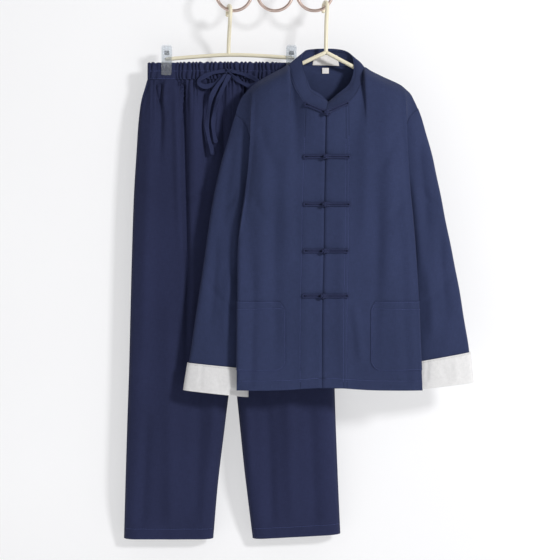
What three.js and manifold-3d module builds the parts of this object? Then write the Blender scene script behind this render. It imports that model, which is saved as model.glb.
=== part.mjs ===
// Tai chi uniform on two hangers: a frog-fastened jacket in front of drawstring trousers.
// Millimetres. +X is the viewer's right, -Y is towards the viewer and +Z is up.
// The origin is inside the top of the middle ring, where a wall peg holds the ring rail.
// "Left" and "right" are the viewer's left and right.
import * as THREE from 'three';
import { mergeVertices } from 'three/addons/utils/BufferGeometryUtils.js';
import Module from 'manifold-3d';

const wasm = await Module();
wasm.setup();

// Cloth and clearances
const CLOTH = 1.6;
const SEAM = 0.3;
const LAID_ON = CLOTH / 2 + SEAM;

// Colours of the real materials
const COLOURS = {
  jacket: '#343858',
  trousers: '#2d3050',
  cuff: '#e4e3e2',
  cord: '#2b2e4c',
  hanger: '#f1ecd8',
  rail: '#d9b6a0',
  clear: '#dfe4ea',
  steel: '#a9adb2',
  tape: '#f2efee',
};

// Small helpers for numbers, points and tables
function table(columns, rows) {
  return rows.map((row) => Object.fromEntries(columns.map((name, i) => [name, row[i]])));
}

function vec(x, y, z) {
  return new THREE.Vector3(x, y, z);
}

function mix(a, b, t) {
  return a + (b - a) * t;
}

function clamp01(t) {
  return Math.min(Math.max(t, 0), 1);
}

function smooth(t) {
  const s = clamp01(t);
  return s * s * (3 - 2 * s);
}

// Reads a column of a table at a value of another column, on a curve that never overshoots.
function read(rows, by, value, column) {
  const sign = rows[rows.length - 1][by] > rows[0][by] ? 1 : -1;
  const last = rows.length - 1;
  if ((value - rows[0][by]) * sign <= 0) return rows[0][column];
  if ((value - rows[last][by]) * sign >= 0) return rows[last][column];
  const slope = (k) => (rows[k + 1][column] - rows[k][column]) / (rows[k + 1][by] - rows[k][by]);
  const tangent = (k) => {
    if (k === 0) return slope(0);
    if (k === last) return slope(last - 1);
    const before = slope(k - 1);
    const after = slope(k);
    return before * after <= 0 ? 0 : (2 * before * after) / (before + after);
  };
  const k = rows.findIndex((row, i) => i < last && (value - rows[i + 1][by]) * sign <= 0);
  const span = rows[k + 1][by] - rows[k][by];
  const t = (value - rows[k][by]) / span;
  const start = rows[k][column];
  const rise = rows[k + 1][column] - start;
  return start + t * tangent(k) * span
    + t * t * (3 * rise - (2 * tangent(k) + tangent(k + 1)) * span)
    + t * t * t * ((tangent(k) + tangent(k + 1)) * span - 2 * rise);
}

// The middle surface's normal at one point of a grid, by the points around it.
function gridNormal(grid, j, i, closed, facing) {
  const rows = grid.length;
  const cols = grid[0].length;
  const next = closed ? (i + 1) % cols : Math.min(i + 1, cols - 1);
  const before = closed ? (i + cols - 1) % cols : Math.max(i - 1, 0);
  const across = grid[j][next].clone().sub(grid[j][before]);
  const along = grid[Math.min(j + 1, rows - 1)][i].clone().sub(grid[Math.max(j - 1, 0)][i]);
  return across.cross(along).multiplyScalar(facing).normalize();
}

// The four edges of a grid, each as the places of its points and of their inner neighbours.
function gridEdges(rows, cols) {
  const count = (n) => Array.from({ length: n }, (unused, k) => k);
  return {
    bottom: count(cols).map((i) => ({ j: 0, i, inJ: 1, inI: i })),
    top: count(cols).map((i) => ({ j: rows - 1, i, inJ: rows - 2, inI: i })),
    first: count(rows).map((j) => ({ j, i: 0, inJ: j, inI: 1 })),
    last: count(rows).map((j) => ({ j, i: cols - 1, inJ: j, inI: cols - 2 })),
  };
}

// A cloth wall round a grid of points on its middle surface. Each seam gives the directions of
// the wall's end, shared with the piece that it meets, and sets that end half a seam back.
function wall(grid, { thickness = CLOTH, facing = 1, closed = false, seams = {} } = {}) {
  const rows = grid.length;
  const cols = grid[0].length;
  const normals = grid.map((row, j) => row.map((p, i) => gridNormal(grid, j, i, closed, facing)));
  const places = grid.map((row) => row.map((p) => p.clone()));
  const shared = new Map();
  const edges = gridEdges(rows, cols);
  for (const [name, seam] of Object.entries(seams)) {
    const edge = edges[name];
    edge.forEach(({ j, i, inJ, inI }, k) => {
      const direction = seam.directions[k].clone().normalize();
      const wrap = closed && (name === 'top' || name === 'bottom');
      const before = wrap ? edge[(k + edge.length - 1) % edge.length] : edge[Math.max(k - 1, 0)];
      const after = wrap ? edge[(k + 1) % edge.length] : edge[Math.min(k + 1, edge.length - 1)];
      const tangent = grid[after.j][after.i].clone().sub(grid[before.j][before.i]);
      const back = tangent.cross(direction).normalize();
      if (back.dot(grid[inJ][inI].clone().sub(grid[j][i])) < 0) back.negate();
      const gap = seam.gaps ? seam.gaps[k] : SEAM;
      places[j][i].addScaledVector(back, gap / 2);
      const key = j * cols + i;
      const sum = shared.has(key) ? shared.get(key).add(direction) : direction;
      shared.set(key, sum);
    });
  }
  for (const [key, sum] of shared) normals[Math.floor(key / cols)][key % cols] = sum.normalize();
  const points = [];
  for (const side of [0.5, -0.5]) {
    places.forEach((row, j) => row.forEach((p, i) => {
      points.push(p.clone().addScaledVector(normals[j][i], side * thickness));
    }));
  }
  return closedMesh(points, rows, cols, closed);
}

// Joins an outer and an inner layer of grid points into one closed surface.
function closedMesh(points, rows, cols, closed) {
  const layer = rows * cols;
  const index = [];
  const at = (j, i) => j * cols + (i % cols);
  const spans = closed ? cols : cols - 1;
  for (let j = 0; j < rows - 1; j += 1) {
    for (let i = 0; i < spans; i += 1) {
      const corner = [at(j, i), at(j, i + 1), at(j + 1, i + 1), at(j + 1, i)];
      index.push(corner[0], corner[1], corner[2], corner[0], corner[2], corner[3]);
      const inner = corner.map((c) => c + layer);
      index.push(inner[0], inner[2], inner[1], inner[0], inner[3], inner[2]);
    }
  }
  const rim = (a, b) => index.push(b, a, a + layer, b, a + layer, b + layer);
  for (let i = 0; i < spans; i += 1) {
    rim(at(0, i), at(0, i + 1));
    rim(at(rows - 1, i + 1), at(rows - 1, i));
  }
  for (let j = 0; j < rows - 1 && !closed; j += 1) {
    rim(at(j, cols - 1), at(j + 1, cols - 1));
    rim(at(j + 1, 0), at(j, 0));
  }
  const geometry = new THREE.BufferGeometry();
  const flat = points.flatMap((p) => [p.x, p.y, p.z]);
  geometry.setAttribute('position', new THREE.Float32BufferAttribute(flat, 3));
  geometry.setIndex(signedVolume(points, index) < 0 ? turned(index) : index);
  return geometry;
}

function signedVolume(points, index) {
  let sum = 0;
  for (let k = 0; k < index.length; k += 3) {
    const [a, b, c] = [points[index[k]], points[index[k + 1]], points[index[k + 2]]];
    sum += a.dot(b.clone().cross(c));
  }
  return sum / 6;
}

function turned(index) {
  const out = index.slice();
  for (let k = 0; k < out.length; k += 3) [out[k + 1], out[k + 2]] = [out[k + 2], out[k + 1]];
  return out;
}

// Joins closed geometries that run into each other into one.
function joined(geometries) {
  const solids = geometries.map((geometry) => {
    const bare = geometry.clone();
    bare.deleteAttribute('normal');
    bare.deleteAttribute('uv');
    const merged = mergeVertices(bare, 1e-3);
    const vertProperties = new Float32Array(merged.attributes.position.array);
    const triVerts = new Uint32Array(merged.index.array);
    return new wasm.Manifold(new wasm.Mesh({ numProp: 3, vertProperties, triVerts }));
  });
  const mesh = solids.reduce((sum, solid) => sum.add(solid)).getMesh();
  const geometry = new THREE.BufferGeometry();
  geometry.setAttribute('position', new THREE.BufferAttribute(mesh.vertProperties, 3));
  geometry.setIndex(new THREE.BufferAttribute(mesh.triVerts, 1));
  return geometry;
}

// A round rod or a flat ribbon along a smooth curve through its points.
function swept(points, section, steps, closed = false) {
  const path = new THREE.CatmullRomCurve3(points, closed, 'centripetal');
  return new THREE.ExtrudeGeometry(section, { steps, extrudePath: path });
}

function roundSection(radius, sides) {
  const shape = new THREE.Shape();
  for (let k = 0; k < sides; k += 1) {
    const angle = (2 * Math.PI * k) / sides;
    const [x, y] = [radius * Math.cos(angle), radius * Math.sin(angle)];
    if (k === 0) shape.moveTo(x, y);
    else shape.lineTo(x, y);
  }
  shape.closePath();
  return shape;
}

const uniform = new THREE.Group();

function add(name, geometry, colour, roughness = 0.85, metalness = 0) {
  const material = new THREE.MeshStandardMaterial({ color: colour, roughness, metalness });
  const mesh = new THREE.Mesh(geometry, material);
  mesh.name = name;
  uniform.add(mesh);
  return mesh;
}

// Jacket: front edge, the fold that makes each side's outline, and the neck and shoulder line.
const SHOULDER_Y = -28;
const CLOSING_X = 106;
const FRONT_DEPTH = -66;
const FOLD_DEPTH = -60;
const BACK_DEPTH = -6;
const UNDERARM_Z = -503;
const LEVELS = [-872, -827, -757, -687, -625, -564, UNDERARM_Z];
const RISES = [0.18, 0.35, 0.51, 0.65, 0.77, 0.87, 0.94, 1];
const ROUNDING = 60;
const SPREAD = [0, 0.12, 0.22, 0.32, 0.41, 0.5, 0.58, 0.7, 0.81, 0.91, 0.97, 1];

const closingEdge = table(['z', 'x'], [
  [-296, 106], [-387, 104.7], [-485, 102.7], [-582, 101.8], [-676, 99.3], [-767, 98.5], [-872, 98.3],
]);
const SIDES = {
  left: {
    fold: table(['z', 'x'], [
      [-239, -51.4], [-263, -47.8], [-312, -49.2], [-372, -51.3], [-435, -56.9], [-476, -63.2],
      [-528, -70.4], [-580, -76], [-663, -76.7], [-767, -77.5], [-872, -78.3],
    ]),
    neck: table(['x', 'y', 'z'], [
      [105.7, -84, -296.2], [80.7, -82, -290.8], [62.2, -77, -276.8], [47.9, -69, -257.1],
      [37.6, -58, -234.9], [31.5, -45, -214.3], [29.5, -28, -190.9],
    ]),
    shoulder: table(['x', 'z'], [
      [12, -200], [-10, -211], [-31.4, -223.4], [-45, -233.5], [-51.4, -239.2],
      [-67.1, -256], [-76, -274], [-81.8, -292.7],
    ]),
    armhole: table(['x', 'front', 'back', 'z'], [
      [-73.2, -35, -20, -300], [-63, -41, -15, -311.5], [-54, -43, -13, -332], [-49, -43.5, -12, -362],
      [-45.8, -42, -12, -396], [-43, -38, -14, -432], [-42, -33, -19, -470],
    ]),
    seam: table(['z', 'x'], [[UNDERARM_Z, -43.9], [-687, -43.8], [-872, -43.8]]),
    backCorner: -51,
    sleeveOuter: table(['z', 'x'], [
      [-292.7, -81.8], [-316, -91.3], [-367, -104.5], [-411, -116.7], [-453, -126], [-579, -145.5],
      [-642, -154.1], [-733, -167.6], [-816, -180.3], [-872, -189.3],
    ]),
    sleeveInner: table(['z', 'x'], [
      [UNDERARM_Z, -45.9], [-530, -51], [-560, -56], [-600, -59], [-747, -59.5], [-886, -59.5],
    ]),
    sleeveEnd: { outer: -872.5, inner: -886.5 },
    cuffTop: { outer: -816, inner: -828 },
    pocket: { inner: 23, hemCut: 13, top: -687, bottom: -827, bottomRadius: 20 },
  },
  right: {
    fold: table(['z', 'x'], [
      [-238, 270.2], [-263, 272.5], [-312, 274], [-372, 275.5], [-435, 279.6], [-476, 282.4],
      [-538, 289.4], [-601, 292.7], [-642, 296.9], [-767, 301.5], [-872, 306],
    ]),
    neck: table(['x', 'y', 'z'], [
      [106.3, -84, -296.2], [130.2, -82, -287.7], [153.1, -77, -274.7], [168, -69, -257.1],
      [179, -58, -234.9], [185, -45, -216.4], [187, -28, -196.1],
    ]),
    shoulder: table(['x', 'z'], [
      [202, -204], [222, -214], [243, -224], [260, -232], [270.2, -238.5],
      [284, -251], [292.5, -267], [299.4, -282.2],
    ]),
    armhole: table(['x', 'front', 'back', 'z'], [
      [288.1, -35, -20, -290.5], [278.5, -41, -15, -303.8], [272.5, -43, -13, -326],
      [269.5, -43.5, -12, -358], [267.8, -42, -12, -392], [267.5, -38, -14, -430],
      [269, -33, -19, -468],
    ]),
    seam: table(['z', 'x'], [[UNDERARM_Z, 270.5], [-687, 274.5], [-872, 276.2]]),
    backCorner: 282.5,
    sleeveOuter: table(['z', 'x'], [
      [-282.2, 299.4], [-302, 307.7], [-334, 317.1], [-367, 326.6], [-417, 337.7], [-474, 348.8],
      [-537, 361.5], [-600, 374.1], [-642, 382.5], [-716, 395.1], [-794, 407.4], [-857, 413.4],
    ]),
    sleeveInner: table(['z', 'x'], [
      [UNDERARM_Z, 272.5], [-530, 281], [-560, 287], [-600, 290.5], [-747, 291.5], [-872, 292],
    ]),
    sleeveEnd: { outer: -857, inner: -872 },
    cuffTop: { outer: -794, inner: -815 },
    pocket: { inner: 198.4, hemCut: 9, top: -687, bottom: -827, bottomRadius: 20 },
  },
};

// Long soft folds of the fronts and back: centre, reach up and down, width and depth.
const frontFolds = table(['x', 'top', 'bottom', 'width', 'depth'], [
  [30, -240, -480, 14, 3.5], [-25, -300, -860, 16, 2.5], [185, -280, -640, 16, 3],
  [235, -300, -860, 18, 2.5], [150, -700, -860, 15, 3],
]);
const backFolds = table(['x', 'top', 'bottom', 'width', 'depth'], [
  [40, -260, -860, 20, 2.5], [115, -300, -860, 24, 2], [190, -250, -860, 20, 2.5],
]);

function foldDepth(folds, x, z) {
  return folds.reduce((sum, fold) => {
    const across = Math.exp(-(((x - fold.x) / fold.width) ** 2));
    const down = smooth((fold.top - z) / 60) * smooth((z - fold.bottom) / 60);
    return sum + fold.depth * across * down;
  }, 0);
}

// How far a panel has rounded over from its top line, at a distance under that line.
function rounded(below, sharpness) {
  const over = Math.sqrt(1 - (1 - clamp01(below / ROUNDING)) ** 2);
  return mix(smooth(below / (2 * ROUNDING)), over, sharpness);
}

// A jacket panel's columns: the place of each column's top, and how far across it hangs below.
function frontTops(side) {
  const ridge = side.shoulder.slice(0, 5).map((p) => ({ x: p.x, y: SHOULDER_Y, z: p.z }));
  return side.neck.concat(ridge);
}

// Heights of a column's points: level below the underarm and shared out above it.
function columnHeights(top) {
  return LEVELS.concat(RISES.map((rise) => mix(UNDERARM_Z, top, rise)));
}

// The seam line of a side, from the hem up to the underarm and round the armhole to the shoulder.
function sideSeam(side, branch) {
  const below = LEVELS.map((z) => vec(read(side.seam, 'z', z, 'x'), SHOULDER_Y, z));
  const above = side.armhole.slice().reverse().map((p) => vec(p.x, p[branch], p.z));
  const tip = side.shoulder[side.shoulder.length - 1];
  return below.concat(above, [vec(tip.x, SHOULDER_Y, tip.z)]);
}

// Directions of the wall's end along that line, as the panel and the sleeve share them.
function sideDirections(out, branch) {
  const forward = branch === 'front' ? -1 : 1;
  const miter = branch === 'front' ? vec(0.8 * out, forward * 0.6, 0) : vec(0.5 * out, 0.87, 0);
  const above = Array.from({ length: RISES.length }, (unused, k) => {
    const t = (k + 1) / RISES.length;
    return miter.clone().lerp(vec(0.95 * out, 0, 0.3), smooth((t - 0.7) / 0.3));
  });
  const below = LEVELS.map(() => vec(out, 0, 0));
  below[below.length - 1] = vec(0.8 * out, 0, -0.6);
  return below.concat(above);
}

const outOf = { left: -1, right: 1 };
const CORNER_CLOSING = 7;

// The columns between the fold and the side seam: how far across and how far back each lies.
const SIDE_SHARES = table(['across', 'back'], [[0.03, 0.12], [0.62, 0.66]]);

function frontGrid(name) {
  const side = SIDES[name];
  const tops = frontTops(side);
  const seam = sideSeam(side, 'front');
  const seamTop = seam[seam.length - 1];
  const columns = tops.map((top, i) => columnHeights(top.z).map((z, j) => {
    const rise = smooth((z - UNDERARM_Z) / (top.z - UNDERARM_Z));
    const fold = read(side.fold, 'z', z, 'x');
    const edge = read(closingEdge, 'z', z, 'x');
    const low = mix(edge, fold, SPREAD[i]);
    const lift = (top.x - CLOSING_X) / (read(side.fold, 'z', top.z, 'x') - CLOSING_X);
    const high = mix(edge, fold, lift);
    const x = j === LEVELS.length + RISES.length - 1 ? top.x : mix(low, high, rise);
    const chest = -6 * smooth((z + 560) / 200);
    const flat = mix(FRONT_DEPTH + chest, FOLD_DEPTH, smooth((SPREAD[i] - 0.85) / 0.15));
    const depth = flat - foldDepth(frontFolds, x, z) * smooth((1 - SPREAD[i]) / 0.1) * smooth(i);
    const near = rounded(top.z - z, Math.min(i / 6, 1) ** 2);
    return vec(x, mix(top.y, depth, near), z);
  }));
  const foldColumn = columns[columns.length - 1];
  const ridge = side.shoulder.slice(5, 7);
  ridge.forEach((p, k) => {
    const { across, back } = SIDE_SHARES[k];
    columns.push(seam.map((end, j) => {
      if (j === seam.length - 1) return vec(p.x, SHOULDER_Y, p.z);
      const point = foldColumn[j].clone().lerp(end, back);
      point.x = mix(foldColumn[j].x, end.x, across);
      point.y -= Math.sin(back * Math.PI) * 3 * clamp01((seamTop.z - end.z) / 60);
      return point;
    }));
  });
  columns.push(seam);
  return seam.map((end, j) => columns.map((column) => column[j]));
}

// Directions of the wall's end round the neck, shared by the fronts, the back and the collar.
const neckCentre = vec(CLOSING_X, -30, 0);
function neckDirection(p) {
  const out = vec(p.x - neckCentre.x, (p.y - neckCentre.y) * 1.2, 0).normalize();
  return out.setZ(0.35).normalize();
}
const ridgeDirection = (out) => vec(0.5 * out, 0, 0.87);

const fronts = {};
for (const [name, side] of Object.entries(SIDES)) {
  const out = outOf[name];
  const grid = frontGrid(name);
  const top = grid[grid.length - 1].map((p, i) => {
    if (i === 0) return vec(0, -0.94, 0.35);
    if (i < side.neck.length - 1) return neckDirection(p);
    return i < side.neck.length + 5 ? ridgeDirection(out) : vec(0.9 * out, 0, 0.4);
  });
  const seams = {
    top: { directions: top, gaps: neckGaps(top.length, [side.neck.length - 1]) },
    first: { directions: grid.map(() => vec(0, -1, 0)) },
    last: { directions: sideDirections(out, 'front'), gaps: sideGaps() },
  };
  fronts[name] = { grid, facing: out };
  add(`jacket_front_${name}`, wall(grid, { facing: out, seams }), COLOURS.jacket);
}

// Wider gaps where the neck seam turns sharply into the shoulder.
function neckGaps(count, corners) {
  return Array.from({ length: count }, (unused, i) => (
    corners.some((corner) => Math.abs(corner - i) < 3) ? 2.2 : SEAM
  ));
}

// The side seam's gaps: wider where four edges meet under the arm.
function sideGaps() {
  const gaps = Array(LEVELS.length + RISES.length).fill(SEAM);
  gaps[LEVELS.length - 1] = 1.2;
  return gaps;
}

// The back: one panel from side seam to side seam under the back of the neck.
const backNeck = table(['x', 'y', 'z'], [
  [50, -12, -190.7], [78, 0, -191.2], [108, 2, -191.6], [138, 0, -193], [166, -12, -194.5],
]);

function backHalf(name) {
  const side = SIDES[name];
  const seam = sideSeam(side, 'back');
  const ridge = side.shoulder.slice(0, 7).reverse().map((p) => ({ x: p.x, y: SHOULDER_Y, z: p.z }));
  const neck = { ...side.neck[side.neck.length - 1] };
  return { seam, tops: ridge.concat([neck]) };
}

function backGrid() {
  const left = backHalf('left');
  const right = backHalf('right');
  const tops = left.tops.concat(backNeck, right.tops.reverse());
  const corners = [SIDES.left.backCorner, SIDES.right.backCorner];
  const inner = tops.map((top, i) => columnHeights(top.z).map((z, j) => {
    const last = tops.length - 1;
    const near = rounded(top.z - z, 1);
    const half = i < last / 2 ? 'left' : 'right';
    const fromSeam = Math.min(i, last - i);
    const seamPoint = (half === 'left' ? left.seam : right.seam)[j];
    const rise = smooth((z - UNDERARM_Z) / (top.z - UNDERARM_Z));
    if (fromSeam < 3) {
      const share = [0.35, 0.72, 1][fromSeam];
      const beside = seamPoint.x - outOf[half] * 4;
      const low = mix(corners[half === 'left' ? 0 : 1], beside, smooth((z - UNDERARM_Z) / 30));
      const corner = vec(low, BACK_DEPTH, z);
      const side = seamPoint.clone().lerp(corner, share);
      const closing = clamp01((z - UNDERARM_Z) / (top.z - UNDERARM_Z)) ** CORNER_CLOSING;
      side.z = mix(seamPoint.z, z, share);
      return side.lerp(vec(top.x, top.y, z), closing);
    }
    const low = mix(corners[0], corners[1], (i - 2) / (last - 4));
    const x = mix(low, top.x, rise);
    const depth = BACK_DEPTH + foldDepth(backFolds, x, z);
    return vec(x, mix(top.y, depth, near), z);
  }));
  const columns = [left.seam, ...inner, right.seam];
  return left.seam.map((end, j) => columns.map((column) => column[j]));
}

const back = backGrid();
const backTop = back[back.length - 1].map((p, i) => {
  const last = back[0].length - 1;
  if (i < 3 || last - i < 3) return vec(i < 3 ? -0.9 : 0.9, 0, 0.4);
  if (i <= 8 || last - i <= 8) return ridgeDirection(i <= 8 ? -1 : 1);
  return neckDirection(p);
});
add('jacket_back', wall(back, {
  facing: -1,
  seams: {
    top: { directions: backTop, gaps: neckGaps(back[0].length, [8, back[0].length - 9]) },
    first: { directions: sideDirections(-1, 'back'), gaps: sideGaps() },
    last: { directions: sideDirections(1, 'back'), gaps: sideGaps() },
  },
}), COLOURS.jacket);

// Sleeves: a closed ring of points from the armhole down to the wrist, flattened as it hangs.
const SLEEVE_HALF = 13;
const SLEEVE_STEPS = [0, 0.05, 0.11, 0.19, 0.28, 0.38, 0.5, 0.62, 0.74, 0.86, 0.93, 1];

function armholeRing(side) {
  const tip = side.shoulder[side.shoulder.length - 1];
  const under = vec(side.sleeveInner[0].x, SHOULDER_Y, UNDERARM_Z - 1);
  const front = side.armhole.map((p) => vec(p.x, p.front, p.z));
  const rear = side.armhole.map((p) => vec(p.x, p.back, p.z)).reverse();
  return [vec(tip.x, SHOULDER_Y, tip.z), ...front, under, ...rear];
}

// One ring of the sleeve, part of the way from armhole to wrist, moved out by a distance.
function sleeveRing(side, t, moved = 0, innerT = t) {
  const tip = side.shoulder[side.shoulder.length - 1];
  const outerZ = mix(tip.z, side.sleeveEnd.outer, t);
  const innerZ = mix(UNDERARM_Z, side.sleeveEnd.inner, innerT);
  const outer = vec(read(side.sleeveOuter, 'z', outerZ, 'x'), SHOULDER_Y + 1, outerZ);
  const inner = vec(read(side.sleeveInner, 'z', innerZ, 'x'), SHOULDER_Y + 1, innerZ);
  const chord = inner.clone().sub(outer);
  const middle = outer.clone().add(inner).multiplyScalar(0.5);
  const widened = chord.length() / 2 + moved;
  chord.normalize();
  const hole = armholeRing(side);
  const straight = hole[0].clone().lerp(hole[RISES.length], 0.5);
  const keep = (1 - smooth(t / 0.3)) ** 2;
  const ring = [];
  for (let k = 0; k < RISES.length * 2; k += 1) {
    const angle = (Math.PI * k) / RISES.length;
    const deep = (SLEEVE_HALF + moved) * Math.sign(Math.sin(angle))
      * Math.abs(Math.sin(angle)) ** 0.7;
    const point = middle.clone().addScaledVector(chord, -Math.cos(angle) * widened);
    point.y -= deep;
    const hung = hole[k].clone().sub(straight).add(middle);
    ring.push(t === 0 ? hole[k].clone() : point.lerp(hung, keep));
  }
  return ring;
}

for (const [name, side] of Object.entries(SIDES)) {
  const out = outOf[name];
  const grid = SLEEVE_STEPS.map((t) => sleeveRing(side, t));
  const forward = sideDirections(out, 'front').slice(-RISES.length).reverse();
  const rear = sideDirections(out, 'back').slice(-RISES.length, -1);
  const directions = [...forward, vec(0, 0, -1), ...rear];
  const gaps = directions.map((unused, k) => (k === RISES.length ? 0 : SEAM));
  add(`jacket_sleeve_${name}`, wall(grid, {
    facing: out, closed: true, seams: { bottom: { directions, gaps } },
  }), COLOURS.jacket);
}

// Cuffs: a white band turned up over each sleeve's end.
const CUFF_MOVED = LAID_ON + CLOTH / 2 + 1.2;
const CUFF_STEPS = [0, 0.33, 0.67, 1.02];
for (const [name, side] of Object.entries(SIDES)) {
  const tip = side.shoulder[side.shoulder.length - 1];
  const outerStart = (side.cuffTop.outer - tip.z) / (side.sleeveEnd.outer - tip.z);
  const innerStart = (side.cuffTop.inner - UNDERARM_Z) / (side.sleeveEnd.inner - UNDERARM_Z);
  const grid = CUFF_STEPS.map((s) => (
    sleeveRing(side, mix(outerStart, 1, s), CUFF_MOVED, mix(innerStart, 1, s))
  ));
  add(`jacket_cuff_${name}`, wall(grid, { facing: outOf[name], closed: true }), COLOURS.cuff);
}

// Stand collar: an open band from the neck seam to its own top edge, meeting at the front.
const collarTop = table(['x', 'y', 'z'], [
  [109.2, -62, -271.8], [93.7, -60, -257], [75.1, -55, -244.9], [69, -50.5, -231], [64.9, -46, -216.6],
  [58.8, -36, -192.1], [56.5, -24, -172], [66, -10, -157.5], [84.8, -2, -153], [108.1, 0, -152],
  [129.2, -2, -153], [148.1, -8, -158], [161.5, -18, -171], [165.2, -28, -187], [165.2, -36, -202.5],
  [162, -44, -218.4], [154.3, -51, -235.1], [135.3, -57.5, -252.6], [110.3, -62, -273.9],
]);
const COLLAR_ROWS = [0, 0.33, 0.67, 1];
const collarBottom = [...SIDES.left.neck, ...backNeck, ...SIDES.right.neck.slice().reverse()]
  .map((p) => vec(p.x, p.y, p.z));
const collarGrid = COLLAR_ROWS.map((share) => collarBottom.map((low, i) => {
  const high = vec(collarTop[i].x, collarTop[i].y, collarTop[i].z);
  const bulge = neckDirection(low).multiplyScalar(2 * Math.sin(Math.PI * share));
  return low.clone().lerp(high, share).add(bulge);
}));
const atClosing = vec(0, -0.94, 0.35);
add('jacket_collar', wall(collarGrid, {
  facing: -1,
  seams: {
    bottom: {
      directions: collarBottom.map((p, i) => (
        i === 0 || i === collarBottom.length - 1 ? atClosing.clone() : neckDirection(p)
      )),
      gaps: neckGaps(collarBottom.length, [6, 12]),
    },
  },
}), COLOURS.jacket);

// A point laid on a front panel: by column and height, moved out along the panel's own normal.
function laidPoint(front, column, z, moved) {
  const { grid, facing } = front;
  const j = Math.max(grid.findIndex((row) => row[0].z > z) - 1, 0);
  const i = Math.min(Math.floor(column), grid[0].length - 2);
  const across = column - i;
  const up = (z - grid[j][0].z) / (grid[j + 1][0].z - grid[j][0].z);
  const blend = (f) => {
    const low = f(j, i).clone().lerp(f(j, i + 1), across);
    return low.lerp(f(j + 1, i).clone().lerp(f(j + 1, i + 1), across), up);
  };
  const place = blend((a, b) => grid[a][b]);
  const normal = blend((a, b) => gridNormal(grid, a, b, false, facing)).normalize();
  return place.addScaledVector(normal, moved);
}

function columnAt(front, x, z) {
  let [low, high] = [0, 11];
  for (let k = 0; k < 30; k += 1) {
    const middle = (low + high) / 2;
    const beyond = Math.abs(laidPoint(front, middle, z, 0).x - CLOSING_X) > Math.abs(x - CLOSING_X);
    if (beyond) high = middle;
    else low = middle;
  }
  return low;
}

// Patch pockets: from a shaped inner edge round the side fold, hem across the top.
const POCKET_CLOTH = 1;
const POCKET_HEM = 17;
for (const [name, side] of Object.entries(SIDES)) {
  const { inner, hemCut, top, bottom, bottomRadius } = side.pocket;
  const out = outOf[name];
  const edge = table(['z', 'cut'], [
    [bottom, bottomRadius], [bottom + 0.13 * bottomRadius, bottomRadius / 2],
    [bottom + 0.5 * bottomRadius, 0.13 * bottomRadius], [bottom + bottomRadius, 0],
    [-757, 0], [top - POCKET_HEM, 0], [top, hemCut],
  ]);
  const moved = LAID_ON + POCKET_CLOTH / 2;
  const grid = edge.map(({ z, cut }) => {
    const start = columnAt(fronts[name], inner + out * cut, z);
    return [start, 6, 7, 8, 9, 10, 11, 12, 13].map((c) => laidPoint(fronts[name], c, z, moved));
  });
  add(`jacket_pocket_${name}`, wall(grid, { thickness: POCKET_CLOTH, facing: out }), COLOURS.jacket);
}

// Frog closures: a doubled cord each side, a loop on the left and a knotted button on the right.
const CORD_RADIUS = 1.9;
const CORD_SPACING = 4.2;
const BUTTON_RADIUS = 4.5;
const LOOP_REACH = 3;
const FROG_LIFT = LAID_ON + CORD_RADIUS + 0.4;
const BUTTON_LIFT = BUTTON_RADIUS + CORD_RADIUS + SEAM;
const frogs = table(['name', 'x', 'z', 'leftX', 'leftZ', 'rightX', 'rightZ', 'proud'], [
  ['collar', 106, -297.5, 62, -279, 152, -276.5, 0.2],
  ['chest', 104.8, -387.3, 59.5, -387.6, 154.8, -387.6, 0],
  ['middle', 102.5, -485.7, 59.7, -485.6, 155, -485.6, 0],
  ['waist', 101.7, -582.4, 59.7, -582.3, 151.5, -582.3, 0],
  ['lower', 99.2, -675.5, 57.4, -675.6, 151.9, -675.6, 0],
]);

// How far forward the front's cloth stands at a place.
function frontY(x, z) {
  const front = x < CLOSING_X ? fronts.left : fronts.right;
  const neck = (x < CLOSING_X ? SIDES.left : SIDES.right).neck;
  let best = 0;
  for (const row of front.grid) {
    for (const p of row) {
      const near = Math.hypot(p.x - x, p.z - z) < 26;
      if (near && p.y < best) best = p.y;
    }
  }
  return z > -320 ? read(neck, 'x', x, 'y') : best;
}

// One arm of a frog: out along its upper cord, round its end and back along its lower cord.
function frogArm(frog, end, loop) {
  const centre = vec(frog.x, 0, frog.z);
  const along = vec(end.x, 0, end.z).sub(centre);
  const length = along.length() - CORD_SPACING / 2;
  along.normalize();
  const up = vec(-along.z, 0, along.x);
  const at = (distance, height) => {
    const p = centre.clone().addScaledVector(along, distance).addScaledVector(up, height);
    const lift = loop ? 0 : BUTTON_LIFT * 0.8 * (1 - smooth((distance - 3) / 9));
    p.y = frontY(p.x, p.z) - FROG_LIFT - frog.proud - lift;
    return p;
  };
  const half = CORD_SPACING / 2;
  const start = loop ? -LOOP_REACH : 1;
  const stops = [start, 5.5, 12, length * 0.5, length * 0.8, length];
  const outward = stops.map((d) => at(d, half));
  const inward = stops.slice().reverse().map((d) => at(d, -half));
  const bend = at(length + half, 0);
  const points = [...outward, bend, ...inward];
  if (loop) points.push(at(start - half, 0));
  return swept(points, roundSection(CORD_RADIUS, 6), loop ? 16 : 13, loop);
}

for (const frog of frogs) {
  const left = { x: frog.leftX, z: frog.leftZ };
  const right = { x: frog.rightX, z: frog.rightZ };
  add(`frog_loop_${frog.name}`, frogArm(frog, left, true), COLOURS.cord);
  const button = new THREE.SphereGeometry(BUTTON_RADIUS, 8, 5);
  const y = frontY(frog.x, frog.z) - FROG_LIFT - frog.proud - BUTTON_LIFT;
  button.translate(frog.x, y, frog.z);
  add(`frog_button_${frog.name}`, joined([frogArm(frog, right, false), button]), COLOURS.cord);
}

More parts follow.
